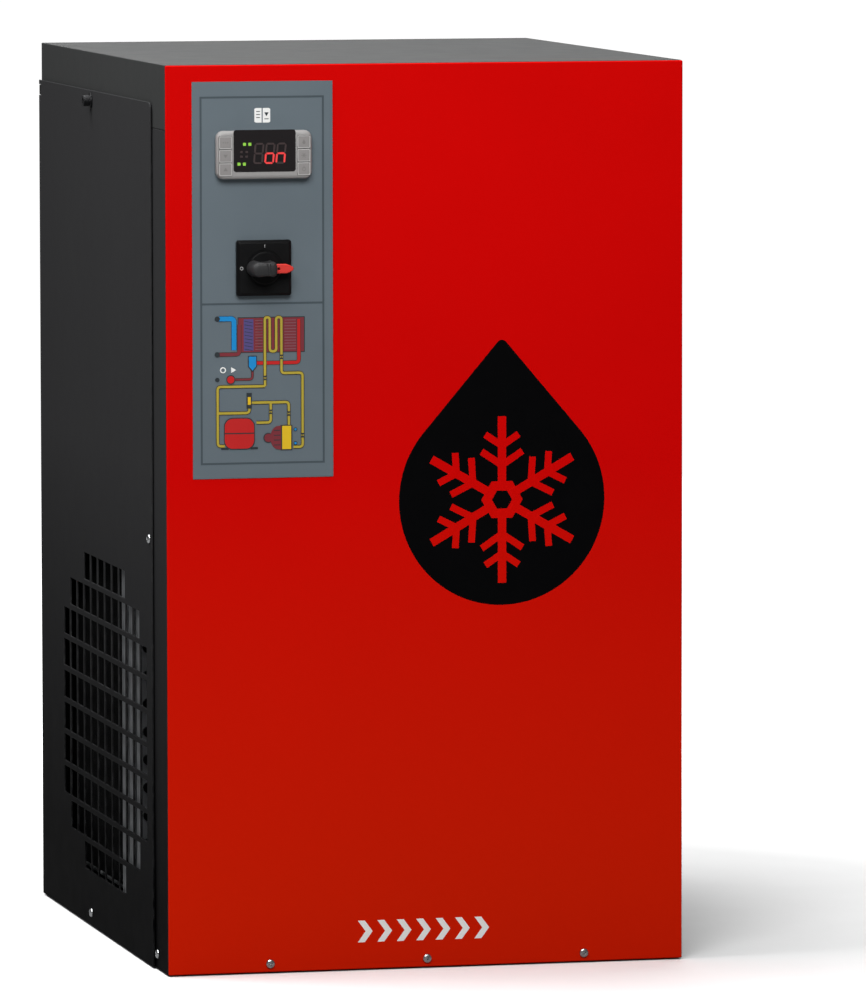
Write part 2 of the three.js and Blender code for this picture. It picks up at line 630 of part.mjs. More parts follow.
/** L-shaped bracket: a back plate against the rear panel and a shelf under the exchanger. */
function exchangerBracket() {
  const { width, front, bottom, top } = EXCHANGER;
  const x = width / 2 + 4;
  const back = [EXCHANGER.rear + GAP, EXCHANGER.rear + GAP + 2];
  const shelf = [bottom - 2 - GAP, bottom - GAP];
  const plate = slab([-x, x], back, [shelf[0], top]);
  const foot = slab([-x, x], [front, back[1]], shelf);
  const holes = [-1, 1].map((side) =>
    rod(PORT.outer + 1, [back[0] - 1, back[1] + 1], "y", [side * PORT.spread, 0, PORT.z], 32));
  return cut(join(plate, foot), ...holes);
}

/** Female threaded port: a hexagon against the rear panel and a round collar, bored through. */
function airPort() {
  const start = EXCHANGER.rear + GAP;
  const collar = rod(PORT.outer, [start, REAR + PORT.reach], "y", [0, 0, 0], 24);
  const hex = rod(PORT.outer + 7, [REAR + 1, REAR + 14], "y", [0, 0, 0], 6);
  const bore = rod(PORT.inner, [start - 1, REAR + PORT.reach + 1], "y", [0, 0, 0], 24);
  return cut(join(collar, hex), bore);
}

function separator() {
  const { radius, bottom, top } = SEPARATOR;
  const height = top - bottom;
  const vessel = turned([[0, 0], [0.5 * radius, 0], [0.9 * radius, 12], [radius, 26], [radius, height - 26],
    [0.9 * radius, height - 12], [0.5 * radius, height], [0, height]], 20);
  const reach = EXCHANGER.x - EXCHANGER.width / 2 - GAP - SEPARATOR.x;
  const stub = rod(13, [0, reach], "x", [0, 0, height - 60], 12);
  return join(vessel, stub);
}

/** Solenoid drain valve under the separator, with its coil to one side. */
function drainValve() {
  const body = slab([-16, 16], [-16, 16], [-40, -GAP]);
  const coil = rod(17, [15, 50], "x", [0, 0, -22], 16);
  return join(body, coil);
}

function bulkhead(fitting) {
  const nut = rod(fitting.nut, [REAR + GAP, REAR + 7], "y", [0, 0, 0], 6);
  const body = rod(fitting.shank, [REAR - 12, REAR + fitting.reach], "y", [0, 0, 0], 16);
  return join(nut, body);
}

function airCircuit(parent) {
  const exchanger = group(parent, [EXCHANGER.x, 0, 0]);
  piece(exchanger, "heat_exchanger", heatExchanger(), MATERIAL.foam);
  piece(exchanger, "exchanger_bracket", exchangerBracket(), MATERIAL.galvanised);
  piece(exchanger, "air_inlet_port", airPort(), MATERIAL.brass, [PORT.spread, 0, PORT.z]);
  piece(exchanger, "air_outlet_port", airPort(), MATERIAL.brass, [-PORT.spread, 0, PORT.z]);
  const vessel = group(parent, [SEPARATOR.x, SEPARATOR.y, SEPARATOR.bottom]);
  piece(vessel, "condensate_separator", separator(), MATERIAL.foam);
  piece(vessel, "drain_valve", drainValve(), MATERIAL.brass);
  const valveBottom = [SEPARATOR.x, SEPARATOR.y, SEPARATOR.bottom - 40 - GAP];
  const hose = line([valveBottom, [SEPARATOR.x, SEPARATOR.y, 330], [-60, 215, 240], [-85, 235, 130],
    [DRAIN.x, 250, DRAIN.z], [DRAIN.x, REAR - 12 - GAP, DRAIN.z]], 4, 8, 12);
  piece(parent, "drain_hose", hose, MATERIAL.blackPlastic);
  piece(parent, "drain_outlet", bulkhead(DRAIN), MATERIAL.brass, [DRAIN.x, 0, DRAIN.z]);
  piece(parent, "cable_gland", bulkhead(GLAND), MATERIAL.blackPlastic, [GLAND.x, 0, GLAND.z]);
}

// ---------- Refrigerant circuit ----------

function filterDrier() {
  const { radius, bottom, top } = DRIER;
  const height = top - bottom;
  return turned([[0, 0], [6, 0], [6, 8], [radius, 22], [radius, height - 22], [6, height - 8],
    [6, height], [0, height]], 16);
}

function refrigerant(parent) {
  const { x, y, radius, top } = COMPRESSOR;
  const { body, height, coil } = HOT_GAS;
  const valve = new THREE.Vector3(...HOT_GAS.at);
  const shellTop = top + GAP + 0.5;
  const coreTop = CORE.z + CORE.height / 2 + GAP;
  const exchangerLeft = EXCHANGER.x - EXCHANGER.width / 2 - GAP;
  const exchangerFront = EXCHANGER.front - GAP;

  const discharge = line([[x, y, shellTop], [x, y, 275], [valve.x + 50, valve.y, 325],
    [valve.x, valve.y, 330], [-120, 20, 362], [CORE.x, 10, 372], [CORE.x, 10, coreTop]], 5, 8, 20);
  piece(parent, "discharge_pipe", discharge, MATERIAL.copper);
  const branch = rod(4, [336, valve.z - height / 2 - GAP], "z", HOT_GAS.at, 8);
  piece(parent, "hot_gas_branch", branch, MATERIAL.copper);
  const valveBody = slab([-body / 2, body / 2], [-body / 2, body / 2], [-height / 2, height / 2]);
  const valveCoil = rod(coil, [height / 2 - 1, height / 2 + 30], "z", [0, 0, 0], 16);
  piece(parent, "hot_gas_valve", join(valveBody, valveCoil), MATERIAL.brass, HOT_GAS.at);
  const injection = line([[valve.x + body / 2 + GAP, valve.y, valve.z], [40, valve.y, valve.z],
    [86, valve.y + 8, valve.z + 18], [90, exchangerFront - 14, valve.z + 20],
    [90, exchangerFront, valve.z + 20]], 4, 8, 14);
  piece(parent, "hot_gas_pipe", injection, MATERIAL.copper);

  const liquid = line([[CORE.x, 150, coreTop], [CORE.x, 150, 358], [-160, 188, 368],
    [DRIER.x, DRIER.y, 372], [DRIER.x, DRIER.y, DRIER.bottom - GAP]], 4, 8, 14);
  piece(parent, "liquid_pipe", liquid, MATERIAL.copper);
  piece(parent, "filter_drier", filterDrier(), MATERIAL.copper, [DRIER.x, DRIER.y, DRIER.bottom]);
  const capillary = line([[DRIER.x, DRIER.y, DRIER.top + GAP], [DRIER.x, DRIER.y, 540], [-100, 160, 575],
    [-60, 125, 560], [-20, 110, 520], [exchangerLeft, 110, 520]], 2, 6, 14);
  piece(parent, "capillary_tube", capillary, MATERIAL.copper);
  const shellSide = x + 1.03 * radius + GAP;
  const suctionX = EXCHANGER.x + 30;
  const suction = line([[shellSide, y, 118], [shellSide + 10, y, 118], [209, y - 8, 150], [209, 44, 260],
    [205, 38, 420], [suctionX + 14, 36, 466], [suctionX, exchangerFront - 18, 470],
    [suctionX, exchangerFront, 470]], 7, 8, 22);
  piece(parent, "suction_pipe", suction, MATERIAL.copper);
}

// ---------- Assembly ----------

const dryer = new THREE.Group();
cabinet(dryer);
fasteners(dryer);
controls(dryer);
cooling(dryer);
compressor(dryer);
airCircuit(dryer);
refrigerant(dryer);

export default dryer;
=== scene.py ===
# Refrigerated air dryer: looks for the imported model, in its own frame.
# Shapes are in millimetres until MM turns them into metres. Camera, lights and shaders are in metres.
import math

import bmesh
import bpy
from mathutils import Matrix, Vector


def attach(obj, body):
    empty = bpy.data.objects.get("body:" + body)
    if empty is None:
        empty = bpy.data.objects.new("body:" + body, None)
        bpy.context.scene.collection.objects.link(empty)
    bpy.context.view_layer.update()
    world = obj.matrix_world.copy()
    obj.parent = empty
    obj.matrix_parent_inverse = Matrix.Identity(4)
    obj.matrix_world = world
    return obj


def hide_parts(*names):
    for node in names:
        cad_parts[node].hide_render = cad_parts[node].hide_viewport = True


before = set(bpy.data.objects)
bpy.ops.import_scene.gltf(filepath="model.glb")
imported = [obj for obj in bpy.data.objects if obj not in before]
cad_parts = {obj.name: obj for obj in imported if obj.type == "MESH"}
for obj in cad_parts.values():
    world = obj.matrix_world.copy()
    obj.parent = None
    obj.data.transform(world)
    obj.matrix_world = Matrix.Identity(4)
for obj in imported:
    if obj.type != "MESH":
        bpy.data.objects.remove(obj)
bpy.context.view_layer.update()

MM = 0.001
scene = bpy.context.scene
scene.view_settings.view_transform = "Standard"

# ---------- Places, in millimetres ----------

FRONT = -280.0  # face of the front panel
REAR = 280.0
HEIGHT = 789.0
LEFT_SKIN = -232.6
POST_FACE = -230.1
SIDE_HOLES = {"front": (-217, 375.5), "bottom": (48, 13), "top": (34, 746)}  # the same in both side panels
POST_HOLE = (-235, 14)
LABEL_X = -145.0
LABEL_FACE = FRONT - 0.8
SEAT = FRONT - 1.0  # where controller and switch sit on the label
CONTROLLER_Z = 711.5
CONTROLLER_HALF = (42, 22)
CONTROLLER_FACE = SEAT - 9.0
SWITCH_Z = 614.0
SWITCH = (LABEL_X, SWITCH_Z)
PORT_Z = 650.0
PORT_XS = (157.0, 73.0)
FAN_CENTRE = (48, 192)
COMPRESSOR = (95, 60)


# ---------- Camera, lights and studio ----------

LENS_LENGTH = 315.8
CAMERA_PLACE = (-1.7597, -7.6575, 1.0820)
CAMERA_BACK = Vector((-0.23183, -0.96874, 0.08831))
CAMERA_RIGHT = Vector((0.97251, -0.23286, -0.00141))
SKY_LIGHT, SKY_SEEN = 0.09, 1.05  # the world's strength for the object and for the camera
LIGHTS = (  # name, place, target, size, power
    ("key_light", (-0.5, -2.15, 1.95), (0.05, -0.28, 0.42), (1.6, 1.0), 52),
    ("top_light", (-0.3, 0.4, 2.9), (0, 0.1, 0.7), (1.8, 1.8), 82),
    ("left_light", (-0.85, -0.15, 1.55), (-0.23, 0, 0.62), (0.8, 0.6), 11),
    ("rim_light", (1.0, 3.4, 1.5), (0, 0, 0.75), (2.6, 1.0), 14),
)
FLOOR_HALF = 4.5
FLOOR_SHADE = (0.30, 0.30, 0.30, 1)  # what the object sees of it
FLOOR_DROP = -0.0004  # just under the object, so the two don't share a face


def make_camera():
    data = bpy.data.cameras.new("photo_camera")
    data.lens = LENS_LENGTH
    data.sensor_width = 36
    data.clip_end = 60
    camera = bpy.data.objects.new("photo_camera", data)
    back = CAMERA_BACK.normalized()
    right = (CAMERA_RIGHT - back * CAMERA_RIGHT.dot(back)).normalized()
    axes = Matrix((right, back.cross(right), back)).transposed().to_4x4()
    camera.matrix_world = Matrix.Translation(CAMERA_PLACE) @ axes
    scene.collection.objects.link(camera)
    scene.camera = camera


def soft_box(name, place, target, size, power):
    data = bpy.data.lights.new(name, "AREA")
    data.shape = "RECTANGLE"
    data.size, data.size_y = size
    data.energy = power
    light = bpy.data.objects.new(name, data)
    light.location = place
    aim = Vector(target) - Vector(place)
    light.rotation_mode = "QUATERNION"
    light.rotation_quaternion = aim.to_track_quat("-Z", "Y")
    scene.collection.objects.link(light)


def by_camera(tree, unseen, seen):
    """One shader for what the camera sees directly, another for every other ray."""
    path = add_node(tree, "LightPath")
    inputs = {"Fac": path.outputs["Is Camera Ray"], 1: unseen, 2: seen}
    return add_node(tree, "MixShader", inputs).outputs[0]


def make_studio():
    world = bpy.data.worlds.new("studio")
    scene.world = world
    world.use_nodes = True
    tree = world.node_tree
    tree.nodes.clear()
    white = (1, 1, 1, 1)
    unseen, seen = (add_node(tree, "Background", {"Color": white, "Strength": strength}).outputs[0]
                    for strength in (SKY_LIGHT, SKY_SEEN))
    add_node(tree, "OutputWorld", {"Surface": by_camera(tree, unseen, seen)})
    for light in LIGHTS:
        soft_box(*light)


def floor_material():
    """White paper: it glows a little to the camera, more so farther out, and stays dim to the object."""
    material, tree, shader, where = start_material("floor_white")
    paper = tinted(tree, noise(tree, where, 9), (0.92, 0.92, 0.92), (0.94, 0.94, 0.94))
    reach = add_node(tree, "VectorMath", {0: where}, operation="LENGTH")
    feed(tree, shader, {
        "Base Color": paper,
        "Normal": bumped(tree, noise(tree, where, 700), 0.02),
        "Roughness": spread(tree, noise(tree, where, 60), 0.88, 0.94),
        "Specular IOR Level": 0.05,
        "Emission Color": paper,
        "Emission Strength": spread(tree, reach.outputs["Value"], 0.0, 1.1, 0.62, 1.5),
    })
    dim = add_node(tree, "BsdfDiffuse", {"Color": FLOOR_SHADE})
    surface_shader = by_camera(tree, dim.outputs[0], shader.outputs[0])
    feed(tree, tree.nodes["Material Output"], {"Surface": surface_shader})
    return material


def make_floor():
    """A flat sheet of white paper under the object."""
    bm = bmesh.new()
    corners = span(-FLOOR_HALF, FLOOR_HALF, -FLOOR_HALF, FLOOR_HALF)
    bm.faces.new([bm.verts.new((x, y, 0)) for x, y in corners])
    mesh = bpy.data.meshes.new("studio_floor")
    bm.to_mesh(mesh)
    bm.free()
    floor = bpy.data.objects.new("studio_floor", mesh)
    floor.location.z = FLOOR_DROP
    scene.collection.objects.link(floor)
    mesh.materials.append(floor_material())


# ---------- Materials ----------

def srgb(*levels):
    """Linear colour from 0-255 sRGB levels."""
    def linear(level):
        c = level / 255
        return c / 12.92 if c <= 0.04045 else ((c + 0.055) / 1.055) ** 2.4
    return tuple(linear(level) for level in levels)


def shaded(color, factor):
    return tuple(min(1.0, c * factor) for c in color)


def feed(tree, node, inputs):
    """Links each input to a socket, or sets it to a plain value."""
    for slot, value in inputs.items():
        if isinstance(value, bpy.types.NodeSocket):
            tree.links.new(value, node.inputs[slot])
        else:
            node.inputs[slot].default_value = value


def add_node(tree, kind, inputs=None, **settings):
    """A shader node of a kind, without the "ShaderNode" in front, with its settings and inputs."""
    node = tree.nodes.new("ShaderNode" + kind)
    for key, value in settings.items():
        setattr(node, key, value)
    feed(tree, node, inputs or {})
    return node


def noise(tree, vector, scale, detail=3.0):
    inputs = {"Scale": scale, "Detail": detail, "Roughness": 0.55, "Vector": vector}
    return add_node(tree, "TexNoise", inputs).outputs["Fac"]


def spread(tree, value, low, high, start=0.3, end=0.7):
    """The value's range from start to end, turned into low to high."""
    inputs = {"From Min": start, "From Max": end, "To Min": low, "To Max": high, "Value": value}
    return add_node(tree, "MapRange", inputs).outputs["Result"]


def tinted(tree, value, dark, light, start=0.3, end=0.7):
    ramp = add_node(tree, "ValToRGB", {"Fac": value})
    first, last = ramp.color_ramp.elements
    first.position, last.position = start, end
    first.color, last.color = (*dark, 1), (*light, 1)
    return ramp.outputs["Color"]


def blended(tree, factor, first, second):
    """Two colours mixed; each is a node output or a plain colour."""
    a, b = ((*color, 1) if isinstance(color, tuple) else color for color in (first, second))
    mix = add_node(tree, "Mix", {"Factor": factor, "A": a, "B": b}, data_type="RGBA")
    return mix.outputs["Result"]


def bumped(tree, height, strength, distance=0.0002, after=None):
    inputs = {"Strength": strength, "Distance": distance, "Height": height}
    if after is not None:
        inputs["Normal"] = after
    return add_node(tree, "Bump", inputs).outputs["Normal"]


def start_material(name, stretch=(1, 1, 1)):
    material = bpy.data.materials.new(name)
    material.use_nodes = True
    tree = material.node_tree
    coords = add_node(tree, "TexCoord")
    mapping = add_node(tree, "Mapping", {"Scale": stretch, "Vector": coords.outputs["Object"]})
    return material, tree, tree.nodes["Principled BSDF"], mapping.outputs["Vector"]


def surface(name, levels, roughness, metallic=0.0, specular=0.5, grain=700, bump=0.12,
            mottling=0.05, mottle=14, rough_spread=0.06, stretch=(1, 1, 1)):
    """A general finish: slow tone changes, uneven roughness and a fine bump."""
    material, tree, shader, where = start_material(name, stretch)
    color = srgb(*levels)
    tone = tinted(tree, noise(tree, where, mottle), shaded(color, 1 - mottling), shaded(color, 1 + mottling))
    uneven = noise(tree, where, mottle * 6)
    feed(tree, shader, {
        "Base Color": tone,
        "Roughness": spread(tree, uneven, roughness - rough_spread, roughness + rough_spread),
        "Normal": bumped(tree, noise(tree, where, grain), bump),
        "Metallic": metallic,
        "Specular IOR Level": specular,
    })
    return material


def ink(name, levels, grain=1500, specular=0.2, mottling=0.05):
    """Printed ink, nearly flat."""
    return surface(name, levels, 0.5, specular=specular, grain=grain, bump=0.05, mottling=mottling)


# Near the floor the coats turn to a painted foot colour: painted shade on the anthracite, a painted warm
# reflection on the red.
PAINTED_FOOT_FADE = (0.44, 0.06)  # heights between which a coat turns to its foot colour
# Behind its outer face the red front sheet turns near black: painted shade for the dark inside of the
# cabinet.
INNER_SHADE_DEPTHS = (-0.2790, -0.2787)  # depths between which the front sheet turns to its inside colour
# Edges turn lighter in patches: a painted highlight.
EDGE_HIGHLIGHT_RADIUS = 0.0012


def powder_coat(name, color, roughness, specular, edge_highlight, cloud=0.02, gloss_spread=0.02,
                foot=None, inner_shade=None):
    """Baked paint: orange peel over a fine speckle, with a patchy painted highlight along the edges.

    foot is the colour it turns to near the floor, painted shade on the anthracite and a painted warm
    reflection on the red; inside, a painted shade, is the colour of a front sheet behind its outer face.
    """
    material, tree, shader, where = start_material(name)
    body = tinted(tree, noise(tree, where, 5, 4), shaded(color, 1 - cloud), shaded(color, 1 + cloud))
    place = add_node(tree, "SeparateXYZ", {0: where})
    # Towards the floor the coat blends into its foot colour, which is painted light: painted shade on the
    # anthracite, a painted warm reflection on the red.
    if foot:
        body = blended(tree, spread(tree, place.outputs["Z"], 0.0, 1.0, *PAINTED_FOOT_FADE), body, foot)
    # Lighter colour along the edges, in patches: a painted highlight.
    bevel = add_node(tree, "Bevel", {"Radius": EDGE_HIGHLIGHT_RADIUS}, samples=4)
    geometry = add_node(tree, "NewGeometry")
    normals = {0: bevel.outputs["Normal"], 1: geometry.outputs["Normal"]}
    facing = add_node(tree, "VectorMath", normals, operation="DOT_PRODUCT")
    edge = spread(tree, facing.outputs["Value"], 1.0, 0.0, 0.80, 0.985)
    patchy = spread(tree, noise(tree, where, 90, 4), 0.0, 1.0, 0.42, 0.60)
    highlight_mask = add_node(tree, "Math", {0: edge, 1: patchy}, operation="MULTIPLY")
    body = blended(tree, highlight_mask.outputs[0], body, edge_highlight)
    # Dark behind the front sheet's outer face: painted shade.
    if inner_shade:
        body = blended(tree, spread(tree, place.outputs["Y"], 0.0, 1.0, *INNER_SHADE_DEPTHS), body, inner_shade)
    peel = bumped(tree, noise(tree, where, 330, 2), 0.10, 0.0003)
    uneven = noise(tree, where, 45, 4)
    feed(tree, shader, {
        "Base Color": body,
        "Roughness": spread(tree, uneven, roughness - gloss_spread, roughness + gloss_spread),
        "Normal": bumped(tree, noise(tree, where, 1500, 2), 0.10, 0.0001, after=peel),
        "Specular IOR Level": specular,
    })
    return material


def galvanised(name):
    """Zinc spangle: large crystals that differ in tone and gloss."""
    material, tree, shader, where = start_material(name)
    cells = add_node(tree, "TexVoronoi", {"Scale": 110, "Vector": where})
    grey = add_node(tree, "RGBToBW", {"Color": cells.outputs["Color"]}).outputs["Val"]
    feed(tree, shader, {
        "Base Color": tinted(tree, grey, (0.34, 0.36, 0.37), (0.52, 0.54, 0.55), 0.2, 0.8),
        "Roughness": spread(tree, grey, 0.28, 0.46, 0.2, 0.8),
        "Normal": bumped(tree, noise(tree, where, 260), 0.08),
        "Metallic": 1.0,
    })
    return material


def foam(name):
    """Closed-cell rubber foam."""
    material, tree, shader, where = start_material(name)
    cells = add_node(tree, "TexVoronoi", {"Scale": 420, "Vector": where}).outputs["Distance"]
    feed(tree, shader, {
        "Base Color": tinted(tree, cells, srgb(34, 35, 36), srgb(22, 22, 23), 0.1, 0.7),
        "Roughness": spread(tree, noise(tree, where, 60), 0.8, 0.95),
        "Normal": bumped(tree, cells, 0.5, 0.0006),
    })
    return material


def lamp(name, levels, strength):
    """A lit indicator with a slightly uneven glow."""
    material, tree, shader, where = start_material(name)
    color = srgb(*levels)
    tone = tinted(tree, noise(tree, where, 900), shaded(color, 0.9), color)
    feed(tree, shader, {"Base Color": tone, "Emission Color": tone, "Emission Strength": strength})
    return material


# Each powder coat's third colour, lighter than the coat, is its painted edge highlight.
RED = srgb(205, 4, 3)
# The red turns more orange towards the floor: a painted warm reflection.
PAINT_RED = powder_coat("paint_red", RED, 0.52, 0.02, tuple(c * 1.2 + 0.003 for c in RED), 0.03, 0.03,
                        foot=srgb(205, 29, 2), inner_shade=srgb(16, 16, 17))
# The anthracite turns almost black towards the floor: painted shade.
PAINT_BLACK = powder_coat("paint_anthracite", srgb(51, 51, 52), 0.62, 0.02, srgb(72, 73, 74),
                          foot=srgb(7, 7, 8))
PAINT_COVER = powder_coat("paint_cover", srgb(52, 53, 53), 0.55, 0.14, srgb(80, 81, 81))
LABEL = surface("overlay_grey", (98, 109, 116), 0.45, specular=0.25, grain=1800, bump=0.06, mottling=0.03)
INK_LINE = ink("ink_line", (70, 80, 86), 1800)
INK_EDGE = ink("ink_edge", (50, 50, 44), 1800)
INK_PALE = ink("ink_pale", (128, 82, 90))
INK_DARK = ink("ink_dark", (46, 52, 56), 1800)
INK_BLACK = ink("ink_black", (5, 5, 6), specular=0.03)
INK_WHITE = ink("ink_white", (238, 238, 236), mottling=0.02)
INK_YELLOW = ink("ink_yellow", (176, 157, 58))
INK_AMBER = ink("ink_amber", (222, 184, 36))
INK_BLUE = ink("ink_blue", (26, 134, 200))
INK_PURPLE = ink("ink_purple", (84, 74, 126))
INK_MAROON = ink("ink_maroon", (122, 48, 56))
INK_RED = ink("ink_red", (190, 34, 34))
SIGN_GREY = ink("sign_grey", (168, 168, 168))
BEZEL = surface("bezel_grey", (150, 148, 147), 0.46, specular=0.4, grain=1500, bump=0.14, mottling=0.04)
KEYS = surface("key_grey", (138, 135, 134), 0.6, specular=0.3, grain=2200, bump=0.16, mottling=0.04)
RIDGE = surface("key_ridge", (188, 186, 185), 0.5, specular=0.4, grain=1500, bump=0.08)
LENS = surface("smoked_lens", (32, 29, 30), 0.12, grain=60, bump=0.02, rough_spread=0.03)
GHOST = surface("unlit_segment", (66, 56, 56), 0.25, specular=0.3, grain=900, bump=0.04)
KEY_INK = surface("key_ink", (118, 115, 114), 0.55, specular=0.3, grain=1500, bump=0.08)
LIT_RED = lamp("lit_red", (208, 52, 52), 0.55)
LIT_GREEN = lamp("lit_green", (126, 184, 58), 0.36)
SWITCH_BLACK = surface("switch_black", (12, 12, 13), 0.46, specular=0.12, grain=1300, bump=0.14)
HANDLE_BLACK = surface("handle_black", (41, 41, 42), 0.48, specular=0.3, grain=1300, bump=0.16)
TAB_RED = surface("tab_red", (214, 58, 50), 0.38, specular=0.4, grain=1200, bump=0.1)
ZINC = surface("zinc_plate", (196, 198, 200), 0.26, 1.0, grain=900, bump=0.08, mottling=0.08)
BLACK_OXIDE = surface("black_oxide", (26, 26, 28), 0.36, 0.6, grain=900, bump=0.1, mottling=0.12)
GALVANISED = galvanised("galvanised_spangle")
# A darker copy of the zinc for the baffle behind the grille: painted shade. Its blotches are random tone.
DARKENED_ZINC = surface("darkened_zinc", (124, 126, 129), 0.6, 0.3, grain=300, bump=0.1, mottling=0.2, mottle=40)
FINS = surface("coil_fins", (9, 9, 10), 0.6, specular=0.1, grain=800, bump=0.1, mottling=0.2)
COPPER = surface("drawn_copper", (196, 122, 84), 0.30, 1.0, grain=500, bump=0.06, mottling=0.14, mottle=30)
BRASS = surface("turned_brass", (200, 168, 104), 0.28, 1.0, grain=380, bump=0.10, mottling=0.08,
                stretch=(1, 8, 1))
ALUMINIUM = surface("cast_aluminium", (150, 152, 154), 0.42, 1.0, grain=500, bump=0.18, mottling=0.08)
ENAMEL = surface("black_enamel", (20, 20, 22), 0.26, grain=160, bump=0.06, mottling=0.1)
RUBBER = surface("moulded_rubber", (22, 22, 22), 0.85, specular=0.25, grain=1200, bump=0.2, mottling=0.15)
FOAM = foam("foam_rubber")
PLASTIC = surface("black_polyamide", (24, 24, 25), 0.45, specular=0.4, grain=1100, bump=0.14)


# ---------- Outlines ----------

AXES = {"x": (0, 1, 2), "y": (1, 0, 2), "z": (2, 0, 1)}  # along, then the two across


def placed(axis, along, p, q):
    point = [0.0, 0.0, 0.0]
    a, u, v = AXES[axis]
    point[a], point[u], point[v] = along, p, q
    return Vector(point)


def span(u0, u1, v0, v1):
    """Corners of a rectangle."""
    return [(u0, v0), (u1, v0), (u1, v1), (u0, v1)]


def circle(radius, sides, centre=(0, 0)):
    angles = (2 * math.pi * i / sides for i in range(sides))
    return [(centre[0] + radius * math.cos(a), centre[1] + radius * math.sin(a)) for a in angles]


def arc(radii, start, end, steps, centre=(0, 0)):
    """Points along part of an ellipse, from one angle to another in half turns."""
    angles = (math.pi * (start + (end - start) * i / steps) for i in range(steps + 1))
    return [(centre[0] + radii[0] * math.cos(a), centre[1] + radii[1] * math.sin(a)) for a in angles]


def rounded(x0, x1, z0, z1, corner, steps=5):
    """Outline of a rectangle with round corners."""
    centres = ((x1 - corner, z1 - corner), (x0 + corner, z1 - corner),
               (x0 + corner, z0 + corner), (x1 - corner, z0 + corner))
    points = []
    for quarter, centre in enumerate(centres):
        points += arc((corner, corner), quarter / 2, (quarter + 1) / 2, steps, centre)
    return points


def pad(centre, half_u, half_v, corner, steps=5):
    """A rectangle with round corners about its middle."""
    u, v = centre
    return rounded(u - half_u, u + half_u, v - half_v, v + half_v, corner, steps)


def ribbed(radius, deep, ribs, centre=(0, 0)):
    """A round outline with ribs, four points to each."""
    angles = (2 * math.pi * i / (ribs * 4) for i in range(ribs * 4))
    radii = [radius, radius, radius - deep, radius - deep] * ribs
    return [(centre[0] + r * math.cos(a), centre[1] + r * math.sin(a)) for r, a in zip(radii, angles)]


# ---------- Mesh building ----------

class Piece:
    """One visible piece, built in millimetres from closed shapes."""

    def __init__(self, name):
        self.name = name
        self.bm = bmesh.new()

    def loft(self, rings, closed=False):
        """A closed solid through rings of points, capped unless the rings close on themselves."""
        made = [[self.bm.verts.new(p) for p in ring] for ring in rings]
        for low, high in zip(made, made[1:] + made[:1] if closed else made[1:]):
            for i in range(len(low)):
                j = (i + 1) % len(low)
                self.bm.faces.new((low[i], low[j], high[j], high[i]))
        if not closed:
            self.bm.faces.new(made[0][::-1])
            self.bm.faces.new(made[-1])
        return [v for ring in made for v in ring]

    def stack(self, outlines, axis, closed=False):
        """A solid through (position along the axis, outline) pairs, all with the same point count."""
        return self.loft([[placed(axis, a, p, q) for p, q in outline] for a, outline in outlines], closed)

    def prism(self, outline, axis, start, end):
        return self.stack([(start, outline), (end, outline)], axis)

    def box(self, xs, ys, zs):
        return self.prism(span(*xs, *zs), "y", *ys)

    def turned(self, profile, axis, centre=(0, 0), sides=32, closed=False):
        """A solid of revolution from (position along the axis, radius) pairs."""
        return self.stack([(a, circle(r, sides, centre)) for a, r in profile], axis, closed)

    def hoop(self, outer, inner, axis, start, end):
        """A closed band between two outlines with the same point count."""
        return self.stack([(start, outer), (end, outer), (end, inner), (start, inner)], axis, closed=True)

    def tube(self, points, radius, sides=10):
        """A round bar that follows the points."""
        points = [Vector(p) for p in points]
        rings = []
        side = None
        for i, point in enumerate(points):
            ahead = (points[min(i + 1, len(points) - 1)] - points[max(i - 1, 0)]).normalized()
            if side is None:
                side = ahead.orthogonal().normalized()
            side = (side - ahead * side.dot(ahead)).normalized()
            other = ahead.cross(side)
            rings.append([point + side * p + other * q for p, q in circle(radius, sides)])
        return self.loft(rings)

    def move(self, verts, matrix):
        for vert in verts:
            vert.co = matrix @ vert.co

    def fresh_object(self):
        bmesh.ops.recalc_face_normals(self.bm, faces=self.bm.faces)
        mesh = bpy.data.meshes.new(self.name)
        self.bm.to_mesh(mesh)
        self.bm.free()
        made = bpy.data.objects.new(self.name, mesh)
        scene.collection.objects.link(made)
        return made

    def cut(self, cutter):
        """Takes another piece's shapes out of this one."""
        target, tool = self.fresh_object(), cutter.fresh_object()
        boolean = target.modifiers.new("cut", "BOOLEAN")
        boolean.operation = "DIFFERENCE"
        boolean.solver = "EXACT"
        boolean.object = tool
        bpy.context.view_layer.update()
        depsgraph = bpy.context.evaluated_depsgraph_get()
        result = bpy.data.meshes.new_from_object(target.evaluated_get(depsgraph))
        self.bm = bmesh.new()
        self.bm.from_mesh(result)
        bpy.data.objects.remove(target)
        bpy.data.objects.remove(tool)
        bpy.data.meshes.remove(result)

    def bore(self, profile, axis, centre, sides):
        """Takes a turned shape out of this piece."""
        tool = Piece("bore")
        tool.turned(profile, axis, centre, sides)
        self.cut(tool)

    def notch(self, xs, ys, zs):
        """Takes a box out of this piece."""
        tool = Piece("notch")
        tool.box(xs, ys, zs)
        self.cut(tool)

    def done(self, material, slot, body="cabinet", replaces=(), bevel=0.0, segments=2, angle=35, place=None):
        if place is not None:
            self.move(self.bm.verts, place)
        self.move(self.bm.verts, Matrix.Scale(MM, 4))
        made = self.fresh_object()
        made.data.materials.append(material)
        for face in made.data.polygons:
            face.use_smooth = True
        made.data.set_sharp_from_angle(angle=math.radians(angle))
        if bevel:
            soften(made, bevel, segments)
        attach(made, body)
        if replaces:
            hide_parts(*replaces)


def soften(obj, width, segments=2):
    """Rounded edges that catch the light."""
    bevel = obj.modifiers.new("edges", "BEVEL")
    bevel.width = width * MM
    bevel.segments = segments
    bevel.limit_method = "ANGLE"
    bevel.angle_limit = math.radians(32)
    bevel.use_clamp_overlap = True
    bevel.harden_normals = True


